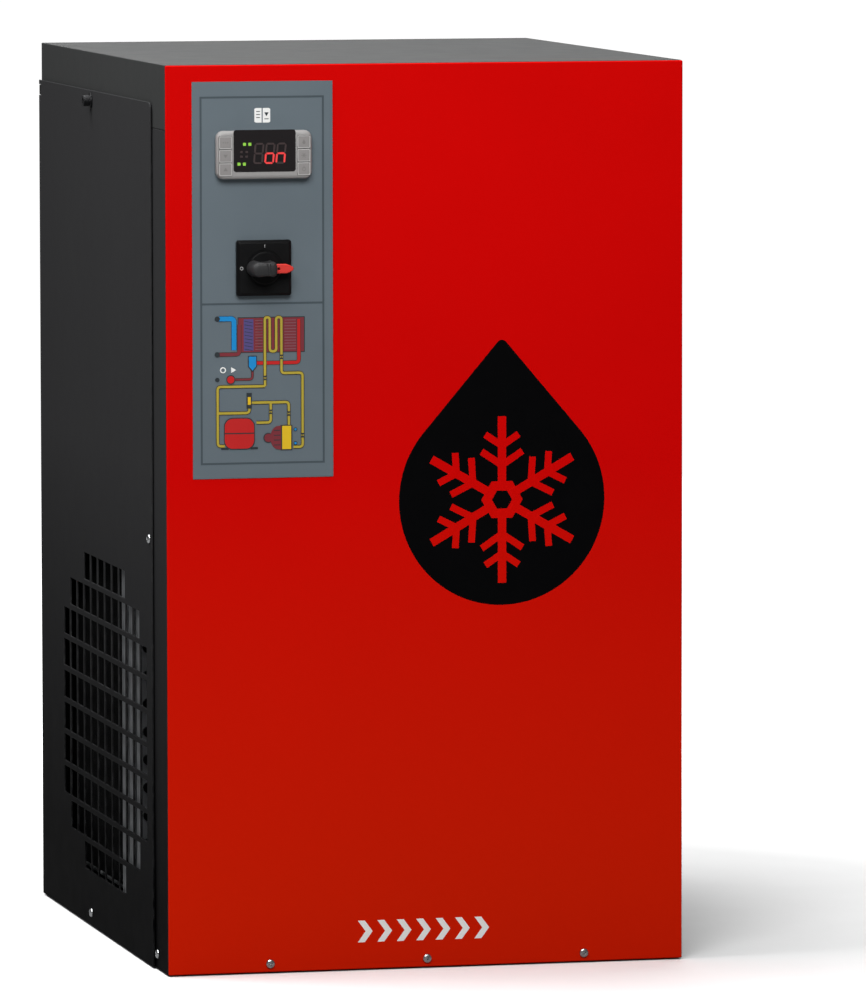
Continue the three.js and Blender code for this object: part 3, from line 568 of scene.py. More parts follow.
# ---------- CAD nodes that stay ----------

def dress(name, material, bevel=0.0, segments=2, round_level=0):
    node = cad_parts[name]
    if not node.material_slots:
        node.data.materials.append(material)
    for spot in node.material_slots:
        spot.material = material
    weld = node.modifiers.new("weld", "WELD")
    weld.merge_threshold = 0.00002
    if round_level:
        rounder = node.modifiers.new("round", "SUBSURF")
        rounder.levels = rounder.render_levels = round_level
    if bevel:
        soften(node, bevel, segments)


def dress_cabinet():
    dress("front_panel", PAINT_RED, 1.1, 3)
    dress("top_cover", PAINT_COVER, 1.0, 3)
    for name in ("base_tray", "rear_panel", "front_left_post", "front_right_post", "rear_left_post",
                 "rear_right_post"):
        dress(name, PAINT_BLACK, 0.5)
    for name in ("left_side_panel", "right_side_panel"):
        dress(name, PAINT_BLACK, 0.35)
    dress("control_label", LABEL, 0.12, 1)
    for name in ("electrical_box", "exchanger_bracket"):
        dress(name, GALVANISED, 0.4)
    # The baffle behind the grille gets the darker zinc: painted shade.
    dress("condenser_baffle", DARKENED_ZINC, 0.4)
    dress("fan_shroud", PLASTIC, 0.4)
    dress("compressor_base_plate", ENAMEL, 0.8)
    dress("switch_body", PLASTIC, 1.0)
    dress("heat_exchanger", FOAM, 6.0, 4)
    dress("drain_hose", PLASTIC, round_level=1)
    for name in ("discharge_pipe", "hot_gas_branch", "hot_gas_pipe", "liquid_pipe", "capillary_tube",
                 "suction_pipe"):
        dress(name, COPPER, round_level=1)


make_camera()
make_studio()
make_floor()
dress_cabinet()

# ---------- Fasteners ----------

def outward(axis, sign, place):
    """Puts a fastener built along +Z at a place, pointing along an axis."""
    aim = Vector([sign if name == axis else 0 for name in "xyz"])
    return Matrix.Translation(place) @ aim.to_track_quat("Z", "Y").to_matrix().to_4x4()


def pan_screw(name, place, axis, sign, replaces=(), turn=0.0):
    """Pan head with a cross recess."""
    head = Piece(name)
    dome = [(-5.0, 1.9), (-0.02, 1.9), (-0.02, 3.7), (0.35, 4.0), (0.95, 3.95), (1.55, 3.5), (2.0, 2.6),
            (2.2, 1.2)]
    head.turned(dome, "z", sides=28)
    for quarter in (0, 1):
        arm = Piece("recess")
        verts = arm.stack([(0.9 + 0.02 * quarter, span(-0.9, 0.9, -0.22, 0.22)),
                           (3.0, span(-2.3, 2.3, -0.5, 0.5))], "z")
        arm.move(verts, Matrix.Rotation(turn + quarter * math.pi / 2, 4, "Z"))
        head.cut(arm)
    head.done(ZINC, "screw_zinc", replaces=replaces, place=outward(axis, sign, place))


def cap_screw(name, place, replaces):
    """Knurled socket cap screw on a washer, in the left panel."""
    screw = Piece(name)
    knurl = ribbed(5.0, 0.15, 24)
    inner = [(0.92 * p, 0.92 * q) for p, q in knurl]
    screw.stack([(1.5, knurl), (7.0, knurl), (7.55, inner)], "z")
    screw.bore([(4.0, 2.6), (9.0, 2.6)], "z", (0, 0), 6)
    washer = [(-5.0, 1.9), (-0.1, 1.9), (0.0, 6.8), (0.2, 7.0), (1.4, 7.0), (1.6, 6.8), (1.61, 4.0)]
    screw.turned(washer, "z", sides=32)
    screw.done(BLACK_OXIDE, "black_screw", replaces=replaces, bevel=0.12, segments=1,
               place=outward("x", -1, place))


def flush_screw(name, hole):
    """Grub-like fixing sunk in the right panel's hole, with a hexagon socket."""
    screw = Piece(name)
    face = -LEFT_SKIN - 0.35
    screw.turned([(face - 7, 1.9), (face - 0.3, 1.9), (face, 1.6)], "x", hole, 24)
    screw.bore([(face - 1.6, 0.95), (face + 1, 0.95)], "x", hole, 6)
    screw.done(BLACK_OXIDE, "black_screw")


def make_fasteners():
    for i, x in enumerate((-140, 0, 141)):
        node = f"front_screw_{i + 1}"
        pan_screw(f"{node}_head", (x, FRONT - 0.1, 8.5), "y", -1, (node,), turn=0.3 + 0.9 * i)
    left_side = {"side_screw_front": (LEFT_SKIN, *SIDE_HOLES["front"]),
                 "side_screw_bottom": (LEFT_SKIN, *SIDE_HOLES["bottom"]),
                 "post_screw_corner": (POST_FACE, *POST_HOLE)}
    for i, (node, place) in enumerate(left_side.items()):
        pan_screw(f"{node}_head", place, "x", -1, (node,), turn=0.5 + 0.7 * i)
    for name, hole in SIDE_HOLES.items():
        flush_screw(f"right_panel_screw_{name}", hole)
    pan_screw("right_post_screw_head", (-POST_FACE, *POST_HOLE), "x", 1, turn=1.1)
    cap_screw("left_cap_screw", (LEFT_SKIN, *SIDE_HOLES["top"]), ("side_cap_screw",))
    for name, side in (("left", -1), ("right", 1)):
        stop = Piece(f"{name}_panel_stop")
        far, near = sorted((side * 229.4, side * 232.3))
        stop.prism(rounded(270.8, 279.2, 741.4, 750.6, 1.2, 3), "x", far, near)
        stop.done(RUBBER, "rubber", bevel=0.3, segments=1)
    count = 0
    for x in (-217, 217):
        for z in (22, 250, 480, 715):
            count += 1
            pan_screw(f"rear_screw_{count}", (x, REAR + 0.1, z), "y", 1, turn=0.6 * count)
    for i, x in enumerate((-150, 0, 150)):
        pan_screw(f"cover_screw_{i + 1}", (x, REAR + 0.1, 768), "y", 1, turn=0.4 + i)


# ---------- Printed graphics ----------

class Print(Piece):
    """Flat ink shapes on a face that looks along -Y or +Y: u is sideways and z up, from an origin."""

    STEP = 0.004  # each shape lies a hair higher than the one before, so none share a face
    LOWEST, LEVEL = 0.06, 0.05  # height of the lowest ink, and of each level over it

    def __init__(self, name, x, z, face, level, side=-1):
        super().__init__(name)
        self.x, self.z, self.side = x, z, side
        self.back, self.top = face, face + side * (self.LOWEST + self.LEVEL * level)

    def shape(self, points):
        self.prism([(self.x + u, self.z + v) for u, v in points], "y", self.back, self.top)
        self.top += self.side * self.STEP

    def bar(self, start, end, width):
        a, b = Vector(start), Vector(end)
        along = (b - a).normalized() * width / 2
        across = Vector((-along.y, along.x))
        corners = (a - along + across, a - along - across, b + along - across, b + along + across)
        self.shape([corner[:] for corner in corners])

    def frame(self, left, right, first, last, width):
        """Four bars around a rectangle."""
        corners = span(left, right, first, last)
        for a, b in zip(corners, corners[1:] + corners[:1]):
            self.bar(a, b, width)

    def strip(self, points, width, turn, steps=5):
        """One band of even width along the points, its corners rounded to the turn radius."""
        path = [Vector(p) for p in points]
        line = [path[0]]
        for before, corner, after in zip(path, path[1:], path[2:]):
            back, ahead = (before - corner).normalized(), (after - corner).normalized()
            reach = min(turn, (before - corner).length / 2, (after - corner).length / 2)
            start, end = corner + back * reach, corner + ahead * reach
            for i in range(steps + 1):
                t = i / steps
                line.append(start * (1 - t) ** 2 + corner * 2 * t * (1 - t) + end * t * t)
        line.append(path[-1])
        line = [line[0]] + [b for a, b in zip(line, line[1:]) if (b - a).length > 0.01]
        left, right = [], []
        for i, point in enumerate(line):
            into = (point - line[i - 1]).normalized() if i else (line[1] - point).normalized()
            out = (line[i + 1] - point).normalized() if i + 1 < len(line) else into
            middle = (into + out).normalized()
            normal = Vector((-middle.y, middle.x))
            spread_out = width / 2 / max(0.5, middle.dot(into))
            left.append((point + normal * spread_out)[:])
            right.append((point - normal * spread_out)[:])
        self.shape(left + right[::-1])

    def disc(self, u, v, radius, sides=24):
        self.shape(circle(radius, sides, (u, v)))

    def ring(self, u, v, outer, inner, sides=32):
        """An open circle, as one solid."""
        centre = (self.x + u, self.z + v)
        self.hoop(circle(outer, sides, centre), circle(inner, sides, centre), "y", self.back, self.top)
        self.top += self.side * self.STEP

    def ink(self, material, slot="label_grey"):
        self.done(material, slot)


def label_print(name, level):
    return Print(name, LABEL_X, HEIGHT, LABEL_FACE, level)


def printed(name, level, material, *outlines):
    """One ink piece on the label, from plain outlines."""
    piece = label_print(name, level)
    for outline in outlines:
        piece.shape(outline)
    piece.ink(material)


def frame_lines():
    lines = label_print("label_frame_lines", 0)
    left, right, top, divider, bottom = -54.3, 53.5, -28, -206, -344
    lines.frame(left, right, top, bottom, 1.8)
    lines.bar((left, divider), (right, divider), 1.8)
    lines.ink(INK_LINE)


def manual_sign():
    """An open booklet, for the instructions."""
    printed("booklet_sign_pages", 0, INK_WHITE,
            [(-7, -38.2), (-5.6, -37.4), (-0.6, -37.4), (-0.6, -50), (-5.6, -50), (-7, -49.2)],
            [(0.4, -37.4), (5.6, -37.4), (7, -38.2), (7, -49.2), (5.6, -50), (0.4, -50)])
    marks = label_print("booklet_sign_marks", 1)
    for row in range(3):
        marks.bar((-5, -40.4 - 2.6 * row), (-2.4, -40.4 - 2.6 * row), 0.7)
    marks.shape([(1.8, -41.2), (5.6, -41.2), (3.7, -44.6)])
    marks.bar((2.2, -46.8), (5.2, -46.8), 0.7)
    marks.ink(INK_DARK)


def outlined(name, level, material, routes, width, edge=0.9):
    """Pipes with a dark line along both sides."""
    under, over = label_print(f"{name}_edges", level), label_print(name, level + 1)
    for points in routes:
        under.strip(points, width + edge, 3.0)
        over.strip(points, width, 3.0)
    under.ink(INK_EDGE)
    over.ink(material)


def exchanger_drawing():
    printed("diagram_exchanger_edge", 0, INK_DARK, span(-22.4, 37, -217.6, -248.6))
    printed("diagram_exchanger", 1, INK_MAROON, span(-21.6, 36.2, -218.4, -247.8))
    printed("diagram_exchanger_core", 2, INK_PURPLE, span(-17, -8.4, -219.4, -246.8))
    plates = label_print("diagram_exchanger_plates", 3)
    for row in range(9):
        z = -221.2 - 3.0 * row
        plates.bar((-16, z), (-9.4, z - 1.2), 0.5)
        plates.bar((-4.4, z), (-1.6, z), 0.4)
    plates.ink(INK_DARK)
    ribs = label_print("diagram_exchanger_ribs", 3)
    for row in range(11):
        z = -220.6 - 2.5 * row
        ribs.bar((19.4, z), (28.8, z), 0.8)
        ribs.bar((-6.6, z), (-0.6, z), 0.6)
    ribs.ink(INK_PALE)


def diagram_pipes():
    outlined("diagram_dry_air_pipe", 4, INK_BLUE, [[(-39, -218.8), (-25.6, -218.8), (-25.6, -246)]], 4.2)
    outlined("diagram_wet_air_pipe", 4, INK_MAROON, [[(-39, -249.6), (-21, -249.6), (-21, -224)]], 3.0)
    outlined("diagram_cold_air_pipe", 4, INK_RED, [[(31.6, -220), (31.6, -257.4), (-8, -257.4)]], 2.8)
    coil = [[(1.6, -277.5), (1.6, -218), (5.9, -218), (5.9, -247.5), (11.6, -247.5), (11.6, -218),
             (16.2, -218), (16.2, -266.4), (34.8, -266.4), (34.8, -330.6), (26.6, -330.6)],
            [(1.6, -277.5), (-40.2, -277.5), (-40.2, -328.8), (-34, -328.8)]]
    loop = [[(-40.2, -300.4), (-12.2, -300.4), (-12.2, -291.6), (22.6, -291.6), (22.6, -312.6)],
            [(6.6, -291.6), (6.6, -309), (-6, -309)]]
    outlined("diagram_refrigerant_pipe", 7, INK_YELLOW, loop + coil, 2.1, 1.1)
    outlined("diagram_drain_pipe", 4, INK_MAROON, [[(-9.4, -262), (-9.4, -271.4), (-30, -271.4)]], 1.6)


def diagram_parts():
    dark = label_print("diagram_part_edges", 9)
    dark.shape([(-13.4, -251), (-5.4, -251), (-5.4, -260.5), (-9.4, -265.2), (-13.4, -260.5)])
    dark.shape(rounded(-34.8, -7.4, -332, -304.4, 7.5))
    dark.bar((-36.4, -331), (-31.6, -331), 1.8)
    dark.bar((-10.6, -331), (-5.8, -331), 1.8)
    dark.shape(span(15.2, 25.6, -311.4, -333.2))
    dark.disc(4.4, -322.3, 4.4)
    dark.bar((-12.4, -285.4), (-12.4, -294.4), 4.6)
    dark.disc(-28.6, -271.4, 4.0)
    for z in (-315.4, -327.4):
        dark.disc(28.4, z, 1.7)
    for u, z in ((16.2, -252.4), (1.6, -270.4), (34.8, -320.6), (6.6, -299.8), (22.6, -301.6)):
        dark.shape([(u - 2, z + 2), (u + 2, z + 2), (u, z)])
        dark.shape([(u - 2, z - 2), (u, z), (u + 2, z - 2)])
    for z in (-218.8, -249.6):
        dark.disc(-40.4, z, 2.3)
    dark.disc(-40.4, -271.4, 1.9)
    dark.ink(INK_DARK)
    blue = label_print("diagram_separator", 10)
    blue.shape([(-12.6, -251.8), (-6.2, -251.8), (-6.2, -260.2), (-9.4, -263.8), (-12.6, -260.2)])
    for z in (-315.4, -327.4):
        blue.disc(28.4, z, 1.1)
    blue.ink(INK_BLUE)
    red = label_print("diagram_compressor", 10)
    red.shape(rounded(-34, -8.2, -331.2, -305.2, 7))
    red.disc(-28.6, -271.4, 3.2)
    red.ink(INK_RED)
    maroon = label_print("diagram_fan", 10)
    maroon.shape([(15.6, -311.9), (15.6, -332.7)] + arc((7.4, 10.2), 1.5, 0.5, 14, (13.6, -322.3)))
    maroon.disc(4.4, -322.3, 3.6)
    maroon.ink(INK_MAROON)
    amber = label_print("diagram_condenser", 10)
    amber.shape(span(16.6, 24.6, -312.2, -332.4))
    amber.bar((-12.4, -288), (-12.4, -292), 2.6)
    amber.ink(INK_AMBER)
    belt = label_print("diagram_compressor_belt", 11)
    belt.bar((-33.4, -318), (-8.8, -318), 1.0)
    for row in range(4):
        belt.bar((9.6, -316 - 4.2 * row), (14.4, -316 - 4.2 * row), 0.8)
    belt.ink(INK_DARK)
    white = label_print("diagram_gauge_signs", 10)
    white.shape([(-28.2, -260.6), (-28.2, -265.6), (-23.8, -263.1)])
    white.ring(-35.4, -263.1, 2.6, 1.7)
    white.ink(INK_WHITE)


def make_label():
    frame_lines()
    manual_sign()
    exchanger_drawing()
    diagram_pipes()
    diagram_parts()


def make_emblem():
    """A water drop with a snow crystal in it: dried air by cooling."""
    centre_x, centre_z, reach, radius, tip_radius = 67.5, 433.5, 117.0, 92.0, 5.0
    low = radius - reach
    lean = math.acos(radius / (reach - low))
    share = lean / math.pi
    tip = reach - tip_radius / math.cos(lean)
    drop = Print("emblem_drop", centre_x, centre_z, FRONT, 0)
    drop.shape(arc((radius, radius), 0.5 + share, 2.5 - share, 72, (0, low))
               + arc((tip_radius, tip_radius), 0.5 - share, 0.5 + share, 8, (0, tip)))
    drop.ink(INK_BLACK, "red_paint")
    crystal = Print("emblem_crystal", centre_x, centre_z + low, FRONT, 1)
    crystal.ring(0, 0, 18.5, 9.0, 6)
    for arm in range(6):
        a = math.pi / 3 * arm + math.pi / 2
        ray = Vector((math.cos(a), math.sin(a)))
        crystal.bar(ray * 14, ray * 69, 7.5)
        for distance, length in ((30, 19), (47, 15)):
            for side in (-1, 1):
                b = a + side * math.pi / 3.2
                crystal.bar(ray * distance, ray * distance + Vector((math.cos(b), math.sin(b))) * length, 6.0)
    crystal.ink(PAINT_RED, "red_paint")


def make_chevrons():
    """A row of white arrowheads for the air's direction, where a plate of text would be."""
    marks = Print("airflow_chevrons", -62, HEIGHT - 755, FRONT, 0)
    for i in range(7):
        u = 17.4 * i
        marks.shape([(u, 9.5), (u + 6.2, 9.5), (u + 13.2, 0), (u + 6.2, -9.5), (u, -9.5), (u + 7, 0)])
    marks.ink(INK_WHITE, "red_paint")


def make_port_signs():
    signs = Print("port_arrows", 0, 0, REAR, 0, side=1)
    for x, up in ((PORT_XS[0], -1), (PORT_XS[1], 1)):
        tail, tip = 704 - 9 * up, 704 + 9 * up
        signs.bar((x, tail), (x, tip - 8 * up), 4)
        signs.shape([(x - 7, tip - 9 * up), (x + 7, tip - 9 * up), (x, tip)])
    signs.ink(INK_WHITE, "black_paint")


# ---------- Controller ----------

def bezel_outline(inset):
    """Round corners, and long edges that fall away from the middle."""
    half_x, half_z = CONTROLLER_HALF
    points = []
    for x, z in pad((LABEL_X, CONTROLLER_Z), half_x - inset, half_z - inset, 6 - inset, 6):
        share = ((x - LABEL_X) / half_x) ** 2
        points.append((x, z + (-1.4 * share if z > CONTROLLER_Z else 1.8 * share)))
    return points


KEY_REACH, KEY_PITCH, KEY_DROP = 34.5, 11.6, 0.6
WINDOW_HALF, WINDOW_GAP, WINDOW_DEEP, WINDOW_BOW = 27, 0.6, 36, 1.2


def key_centre(side, row):
    """The middle of a key; rows are 1, 0 and -1 from the top."""
    return LABEL_X + side * KEY_REACH, CONTROLLER_Z - KEY_DROP + KEY_PITCH * row


def make_controller():
    face = CONTROLLER_FACE
    housing = Piece("controller_bezel")
    steps = ((SEAT - 0.1, 1.2), (SEAT - 2.2, 0), (face + 3.0, 0), (face + 1.4, 0.5), (face + 0.5, 1.5),
             (face + 0.1, 3.0))
    housing.stack([(y, bezel_outline(inset)) for y, inset in steps], "y")
    wells = Piece("wells")
    wells.prism(window_outline(0.25), "y", face - 1, face + 2.3)
    for side in (-1, 1):
        for row in (-1, 0, 1):
            wells.prism(pad(key_centre(side, row), 5.95, 5.7, 1.3, 3), "y", face - 1, face + 4.2)
    housing.cut(wells)
    housing.box((LABEL_X - 35, LABEL_X + 35), (SEAT - 1, SEAT + 46), (CONTROLLER_Z - 14, CONTROLLER_Z + 14))
    housing.done(BEZEL, "bezel_grey", replaces=("controller_housing",), bevel=0.25)
    lens = Piece("controller_lens")
    lens.stack([(face + 2.0, window_outline(0)), (face + 0.35, window_outline(0)),
                (face + 0.05, window_outline(0.35))], "y")
    lens.done(LENS, "display_lens", replaces=("controller_window",))
    make_keys(face)
    make_display(face + 0.05)


def window_outline(grow):
    """Straight sides and top, a slightly bowed foot."""
    left, right = LABEL_X - WINDOW_HALF - grow, LABEL_X + WINDOW_HALF + grow
    housing_top = CONTROLLER_Z + CONTROLLER_HALF[1]
    top, foot = housing_top - WINDOW_GAP + grow, housing_top - WINDOW_DEEP - grow
    bowed = []
    for x, z in rounded(left, right, foot, top, 2.2, 4):
        share = (x - LABEL_X) / WINDOW_HALF
        bowed.append((x, z - WINDOW_BOW * (1 - share * share)) if z < CONTROLLER_Z - 10 else (x, z))
    return bowed


def make_keys(face):
    marks = {"left": ("dots", "down", "up"), "right": ("drop", "light", "ring")}
    for side_name, side in (("left", -1), ("right", 1)):
        for i, kind in enumerate(marks[side_name]):
            centre = key_centre(side, 1 - i)
            node = f"key_{side_name}_{i + 1}"
            body = f"key_{side_name[0]}{i + 1}"
            cap = Piece(f"{node}_cap")
            levels = ((face + 2.6, 0), (face - 0.05, 0), (face - 0.32, 0.3), (face - 0.4, 1.1))
            cap.stack([(y, pad(centre, 5.65 - inset, 5.4 - inset, 1.2, 4)) for y, inset in levels], "y")
            cap.done(KEYS, "key_grey", body=body, replaces=(node,))
            rim = Piece(f"{node}_rim")
            outer, inner = pad(centre, 5.6, 5.35, 1.2, 4), pad(centre, 5.0, 4.75, 0.9, 4)
            rim.hoop(outer, inner, "y", face - 0.30, face - 0.52)
            rim.done(RIDGE, "bezel_grey", body=body)
            key_mark(f"{node}_mark", kind, *centre, face - 0.40, body)


def key_mark(name, kind, x, z, face, body):
    mark = Print(name, x, z, face, 0)
    if kind == "dots":
        for u in (-2, 0, 2):
            mark.disc(u, 0, 0.55, 12)
    elif kind in ("up", "down"):
        s = 1 if kind == "up" else -1
        mark.shape([(-1.9, -1.2 * s), (1.9, -1.2 * s), (0, 1.7 * s)])
    elif kind == "drop":
        mark.shape([(0, 2.2)] + arc((1.35, 1.35), 0.15, -1.15, 12, (0, -0.6)))
    elif kind == "light":
        for i in range(3):
            tip = Vector((math.cos(math.pi / 3 * i), math.sin(math.pi / 3 * i))) * 2.1
            mark.bar(-tip, tip, 0.5)
    else:
        mark.ring(0, -0.3, 1.8, 1.3, 20)
        mark.bar((0, 0.4), (0, 2.4), 0.5)
    mark.done(KEY_INK, "key_grey", body=body)


# Each segment's two ends, in widths across and half heights up from the numeral's middle.
SEGMENTS = {"a": ((-0.5, 1), (0.5, 1)), "b": ((0.5, 1), (0.5, 0)), "c": ((0.5, 0), (0.5, -1)),
            "d": ((-0.5, -1), (0.5, -1)), "e": ((-0.5, 0), (-0.5, -1)), "f": ((-0.5, 1), (-0.5, 0)),
            "g": ((-0.5, 0), (0.5, 0))}
DIGIT_WIDTH, HALF_HEIGHT, DIGIT_STROKE, DIGIT_LEAN = 7.0, 8.3, 1.6, 0.09


def digit(target, u, v, lit):
    """Segments of one numeral, leaning a little."""
    for name in lit:
        a, b = (Vector((u + su * DIGIT_WIDTH + sv * HALF_HEIGHT * DIGIT_LEAN, v + sv * HALF_HEIGHT))
                for su, sv in SEGMENTS[name])
        step = (b - a).normalized()
        a, b = a + step * DIGIT_STROKE * 0.62, b - step * DIGIT_STROKE * 0.62
        half = Vector((-step.y, step.x)) * DIGIT_STROKE / 2
        tip = step * DIGIT_STROKE / 2
        target.shape([point[:] for point in (a - tip, a - half, b - half, b + tip, b + half, a + half)])


def make_display(face):
    def sheet(name, level):
        return Print(name, LABEL_X, CONTROLLER_Z, face, level)

    ghost, lit = sheet("display_unlit_segments", 0), sheet("display_lit_segments", 2)
    columns, middle = (-5.2, 4.6, 14.4), 1.4
    for u in columns:
        digit(ghost, u, middle, "abcdefg")
    digit(lit, columns[1], middle, "cdeg")
    digit(lit, columns[2], middle, "ceg")
    ghost.done(GHOST, "display_lens")
    lit.done(LIT_RED, "display_lens")
    dark = sheet("display_unlit_lights", 0)
    for place in ((-20.4, 2.8), (-15.8, 2.8), (-20.4, -1.2), (-15.8, -1.2)):
        dark.shape(pad(place, 1.2, 0.9, 0.4, 2))
    dark.done(GHOST, "display_lens")
    green = sheet("display_green_lights", 1)
    for place in ((-17.7, 9.4), (-13.0, 9.4), (-22.6, -7.6), (-17.9, -7.6)):
        green.shape(pad(place, 1.35, 1.35, 0.5, 2))
    green.done(LIT_GREEN, "display_lens")


# ---------- Isolator switch ----------

def make_switch():
    plate = Piece("isolator_plate")
    steps = ((SEAT - 0.1, 23.4, 2.0), (SEAT - 0.8, 24, 2.0), (SEAT - 5.4, 24, 2.0), (SEAT - 7.6, 21.9, 1.6),
             (SEAT - 8.0, 21.4, 1.4))
    plate.stack([(y, pad(SWITCH, half, half, corner, 4)) for y, half, corner in steps], "y")
    plate.bore([(SEAT - 9, 16.0), (SEAT - 7.6, 15.6), (SEAT - 7.6, 4.7), (SEAT + 2, 4.7)], "y", SWITCH, 48)
    plate.done(SWITCH_BLACK, "switch_black", replaces=("switch_plate",), bevel=0.2, segments=1)
    signs = Print("isolator_on_off_signs", LABEL_X, SWITCH_Z, SEAT - 8.0, 0)
    signs.bar((0, 18.0), (0, 20.0), 0.6)
    signs.ring(-20.4, 0, 1.5, 1.0)
    signs.ink(SIGN_GREY, "switch_black")
    make_handle()


def grip_outline(inset):
    """Round at the left, a tighter round at the right."""
    left, right, half = -16.5, 7.5, 7.0 - inset
    return (arc((half, half), 0.5, 1.5, 10, (LABEL_X + left + inset + half, SWITCH_Z))
            + arc((half / 2, half), -0.5, 0.5, 10, (LABEL_X + right - inset - half / 2, SWITCH_Z)))


def tab_outline(scale, inset):
    side = [(5, 4), (16.6, 4), (19.4, 3.0), (21.8, 1.7), (22.6, 0.6)]
    points = [(u, -v) for u, v in side] + side[::-1]
    return [(LABEL_X + u - (inset if u > 14 else 0), SWITCH_Z + v * scale) for u, v in points]


def make_handle():
    start = SEAT - 8.4
    mid = start - 10.0
    handle = Piece("isolator_handle")
    grip = [(start - 1.2, 0.0), (start - 5, 0.3), (start - 19.5, 0.5), (start - 21.8, 1.0),
            (start - 23.0, 2.0), (start - 23.5, 3.4)]
    handle.stack([(y, grip_outline(inset)) for y, inset in grip], "y")
    handle.notch((LABEL_X - 1, LABEL_X + 20), (mid - 3.3, mid + 3.3), (SWITCH_Z - 4.3, SWITCH_Z + 4.3))
    for side in (-1, 1):
        dish = Piece("dish")
        verts = dish.turned([(-14, 19.0), (14, 19.0)], "y", sides=40)
        dish.move(verts, Matrix.Translation((LABEL_X - 3, start - 14, SWITCH_Z + side * 24.6)))
        handle.cut(dish)
    for u in (LABEL_X - 3.0, LABEL_X - 0.6):
        handle.notch((u, u + 1.1), (start - 26, start - 22.9), (SWITCH_Z - 5.4, SWITCH_Z + 5.4))
    hub = Piece("isolator_handle_base")
    hub.turned([(start + 36, 4.0), (start + 0.01, 4.0), (start, 13.6), (start - 0.3, 14), (start - 1.2, 14),
                (start - 1.7, 13.4)], "y", SWITCH, 48)
    hub.done(SWITCH_BLACK, "switch_black", body="handle", bevel=0.2, segments=1)
    handle.done(HANDLE_BLACK, "switch_black", body="handle", replaces=("switch_handle",), bevel=0.3)
    tab = Piece("isolator_padlock_tab")
    steps = ((mid + 2.9, 0.86, 0.6), (mid + 2.2, 1, 0), (mid - 2.2, 1, 0), (mid - 2.9, 0.86, 0.6))
    tab.stack([(y, tab_outline(scale, inset)) for y, scale, inset in steps], "y")
    tab.bore([(mid - 5, 1.2), (mid + 5, 1.2)], "y", (LABEL_X + 9.6, SWITCH_Z), 20)
    tab.done(TAB_RED, "tab_red", body="tab", replaces=("padlock_tab",), bevel=0.15, segments=1)


# ---------- Rear fittings ----------

PORT_START, PORT_MOUTH, THREAD_PITCH = 272.3, 312.0, 2.3


def make_ports():
    for name, x in (("air_inlet", PORT_XS[0]), ("air_outlet", PORT_XS[1])):
        centre = (x, PORT_Z)
        port = Piece(f"{name}_fitting")
        start, mouth = PORT_START, PORT_MOUTH
        port.turned([(start, 26.4), (start + 0.6, 27), (mouth - 1.5, 27), (mouth, 25.6)], "y", centre, 56)
        y = mouth - 24
        profile = [(start - 1, 18.9), (y, 18.9)]
        while y < mouth - 2.6:
            profile += [(y + 0.55, 19.9), (y + 0.95, 19.9), (y + 1.5, 18.95), (y + THREAD_PITCH, 18.95)]
            y += THREAD_PITCH
        profile += [(mouth - 1.6, 19.4), (mouth + 0.5, 21.4)]
        port.bore(profile, "y", centre, 56)
        nut = Piece(f"{name}_hexagon")
        hexagon, chamfered = circle(33.9, 6, centre), circle(32.2, 6, centre)
        nut.stack([(281.0, chamfered), (282.4, hexagon), (292.6, hexagon), (294.0, chamfered)], "y")
        nut.bore([(270, 26.2), (300, 26.2)], "y", centre, 56)
        nut.done(BRASS, "brass_fitting", bevel=0.25, segments=1)
        port.done(BRASS, "brass_fitting", replaces=(f"{name}_port",), bevel=0.25, segments=1)


def wall_hexagon(piece, centre, radius, chamfered):
    """A hexagon against the rear panel."""
    hexagon, small = circle(radius, 6, centre), circle(chamfered, 6, centre)
    piece.stack([(280.3, small), (280.9, hexagon), (286.4, hexagon), (287, small)], "y")


def make_gland():
    centre = (-150, 620)
    gland = Piece("mains_cable_gland")
    gland.turned([(291, 9.8), (298.2, 9.8), (300.4, 8.8), (302, 7.6)], "y", centre, 32)
    gland.bore([(290, 5.0), (300.5, 5.0), (303, 5.8)], "y", centre, 24)
    wall_hexagon(gland, centre, 12.95, 12.2)
    gland.turned([(268, 8.8), (288, 8.8)], "y", centre, 32)
    nut = ribbed(11.2, 0.7, 14, centre)
    small = [(centre[0] + 0.93 * (p - centre[0]), centre[1] + 0.93 * (q - centre[1])) for p, q in nut]
    gland.stack([(287.6, small), (288.4, nut), (296.8, nut), (298.0, small)], "y")
    gland.done(PLASTIC, "gland_plastic", replaces=("cable_gland",), bevel=0.2, segments=1)
    plug = Piece("gland_seal")
    plug.turned([(298.05, 4.8), (299.6, 4.8), (300.2, 4.1), (300.2, 2.2), (299.2, 1.9)], "y", centre, 24)
    plug.done(RUBBER, "rubber")


def make_drain_outlet():
    centre = (-90, 90)
    fitting = Piece("drain_push_fitting")
    fitting.turned([(268, 6.9), (291.5, 6.9), (292.5, 6.4)], "y", centre, 32)
    fitting.bore([(284, 4.1), (300, 4.1)], "y", centre, 24)
    wall_hexagon(fitting, centre, 10.9, 10.2)
    fitting.done(BRASS, "brass_fitting", replaces=("drain_outlet",), bevel=0.2, segments=1)
    collet = Piece("drain_collet")
    loops = [(286.5, 4.0), (286.5, 3.1), (298.0, 3.1), (298.0, 5.6), (297.4, 6.3), (294.2, 6.3), (294.0, 4.0)]
    collet.turned(loops, "y", centre, 32, closed=True)
    collet.done(PLASTIC, "hose_plastic")


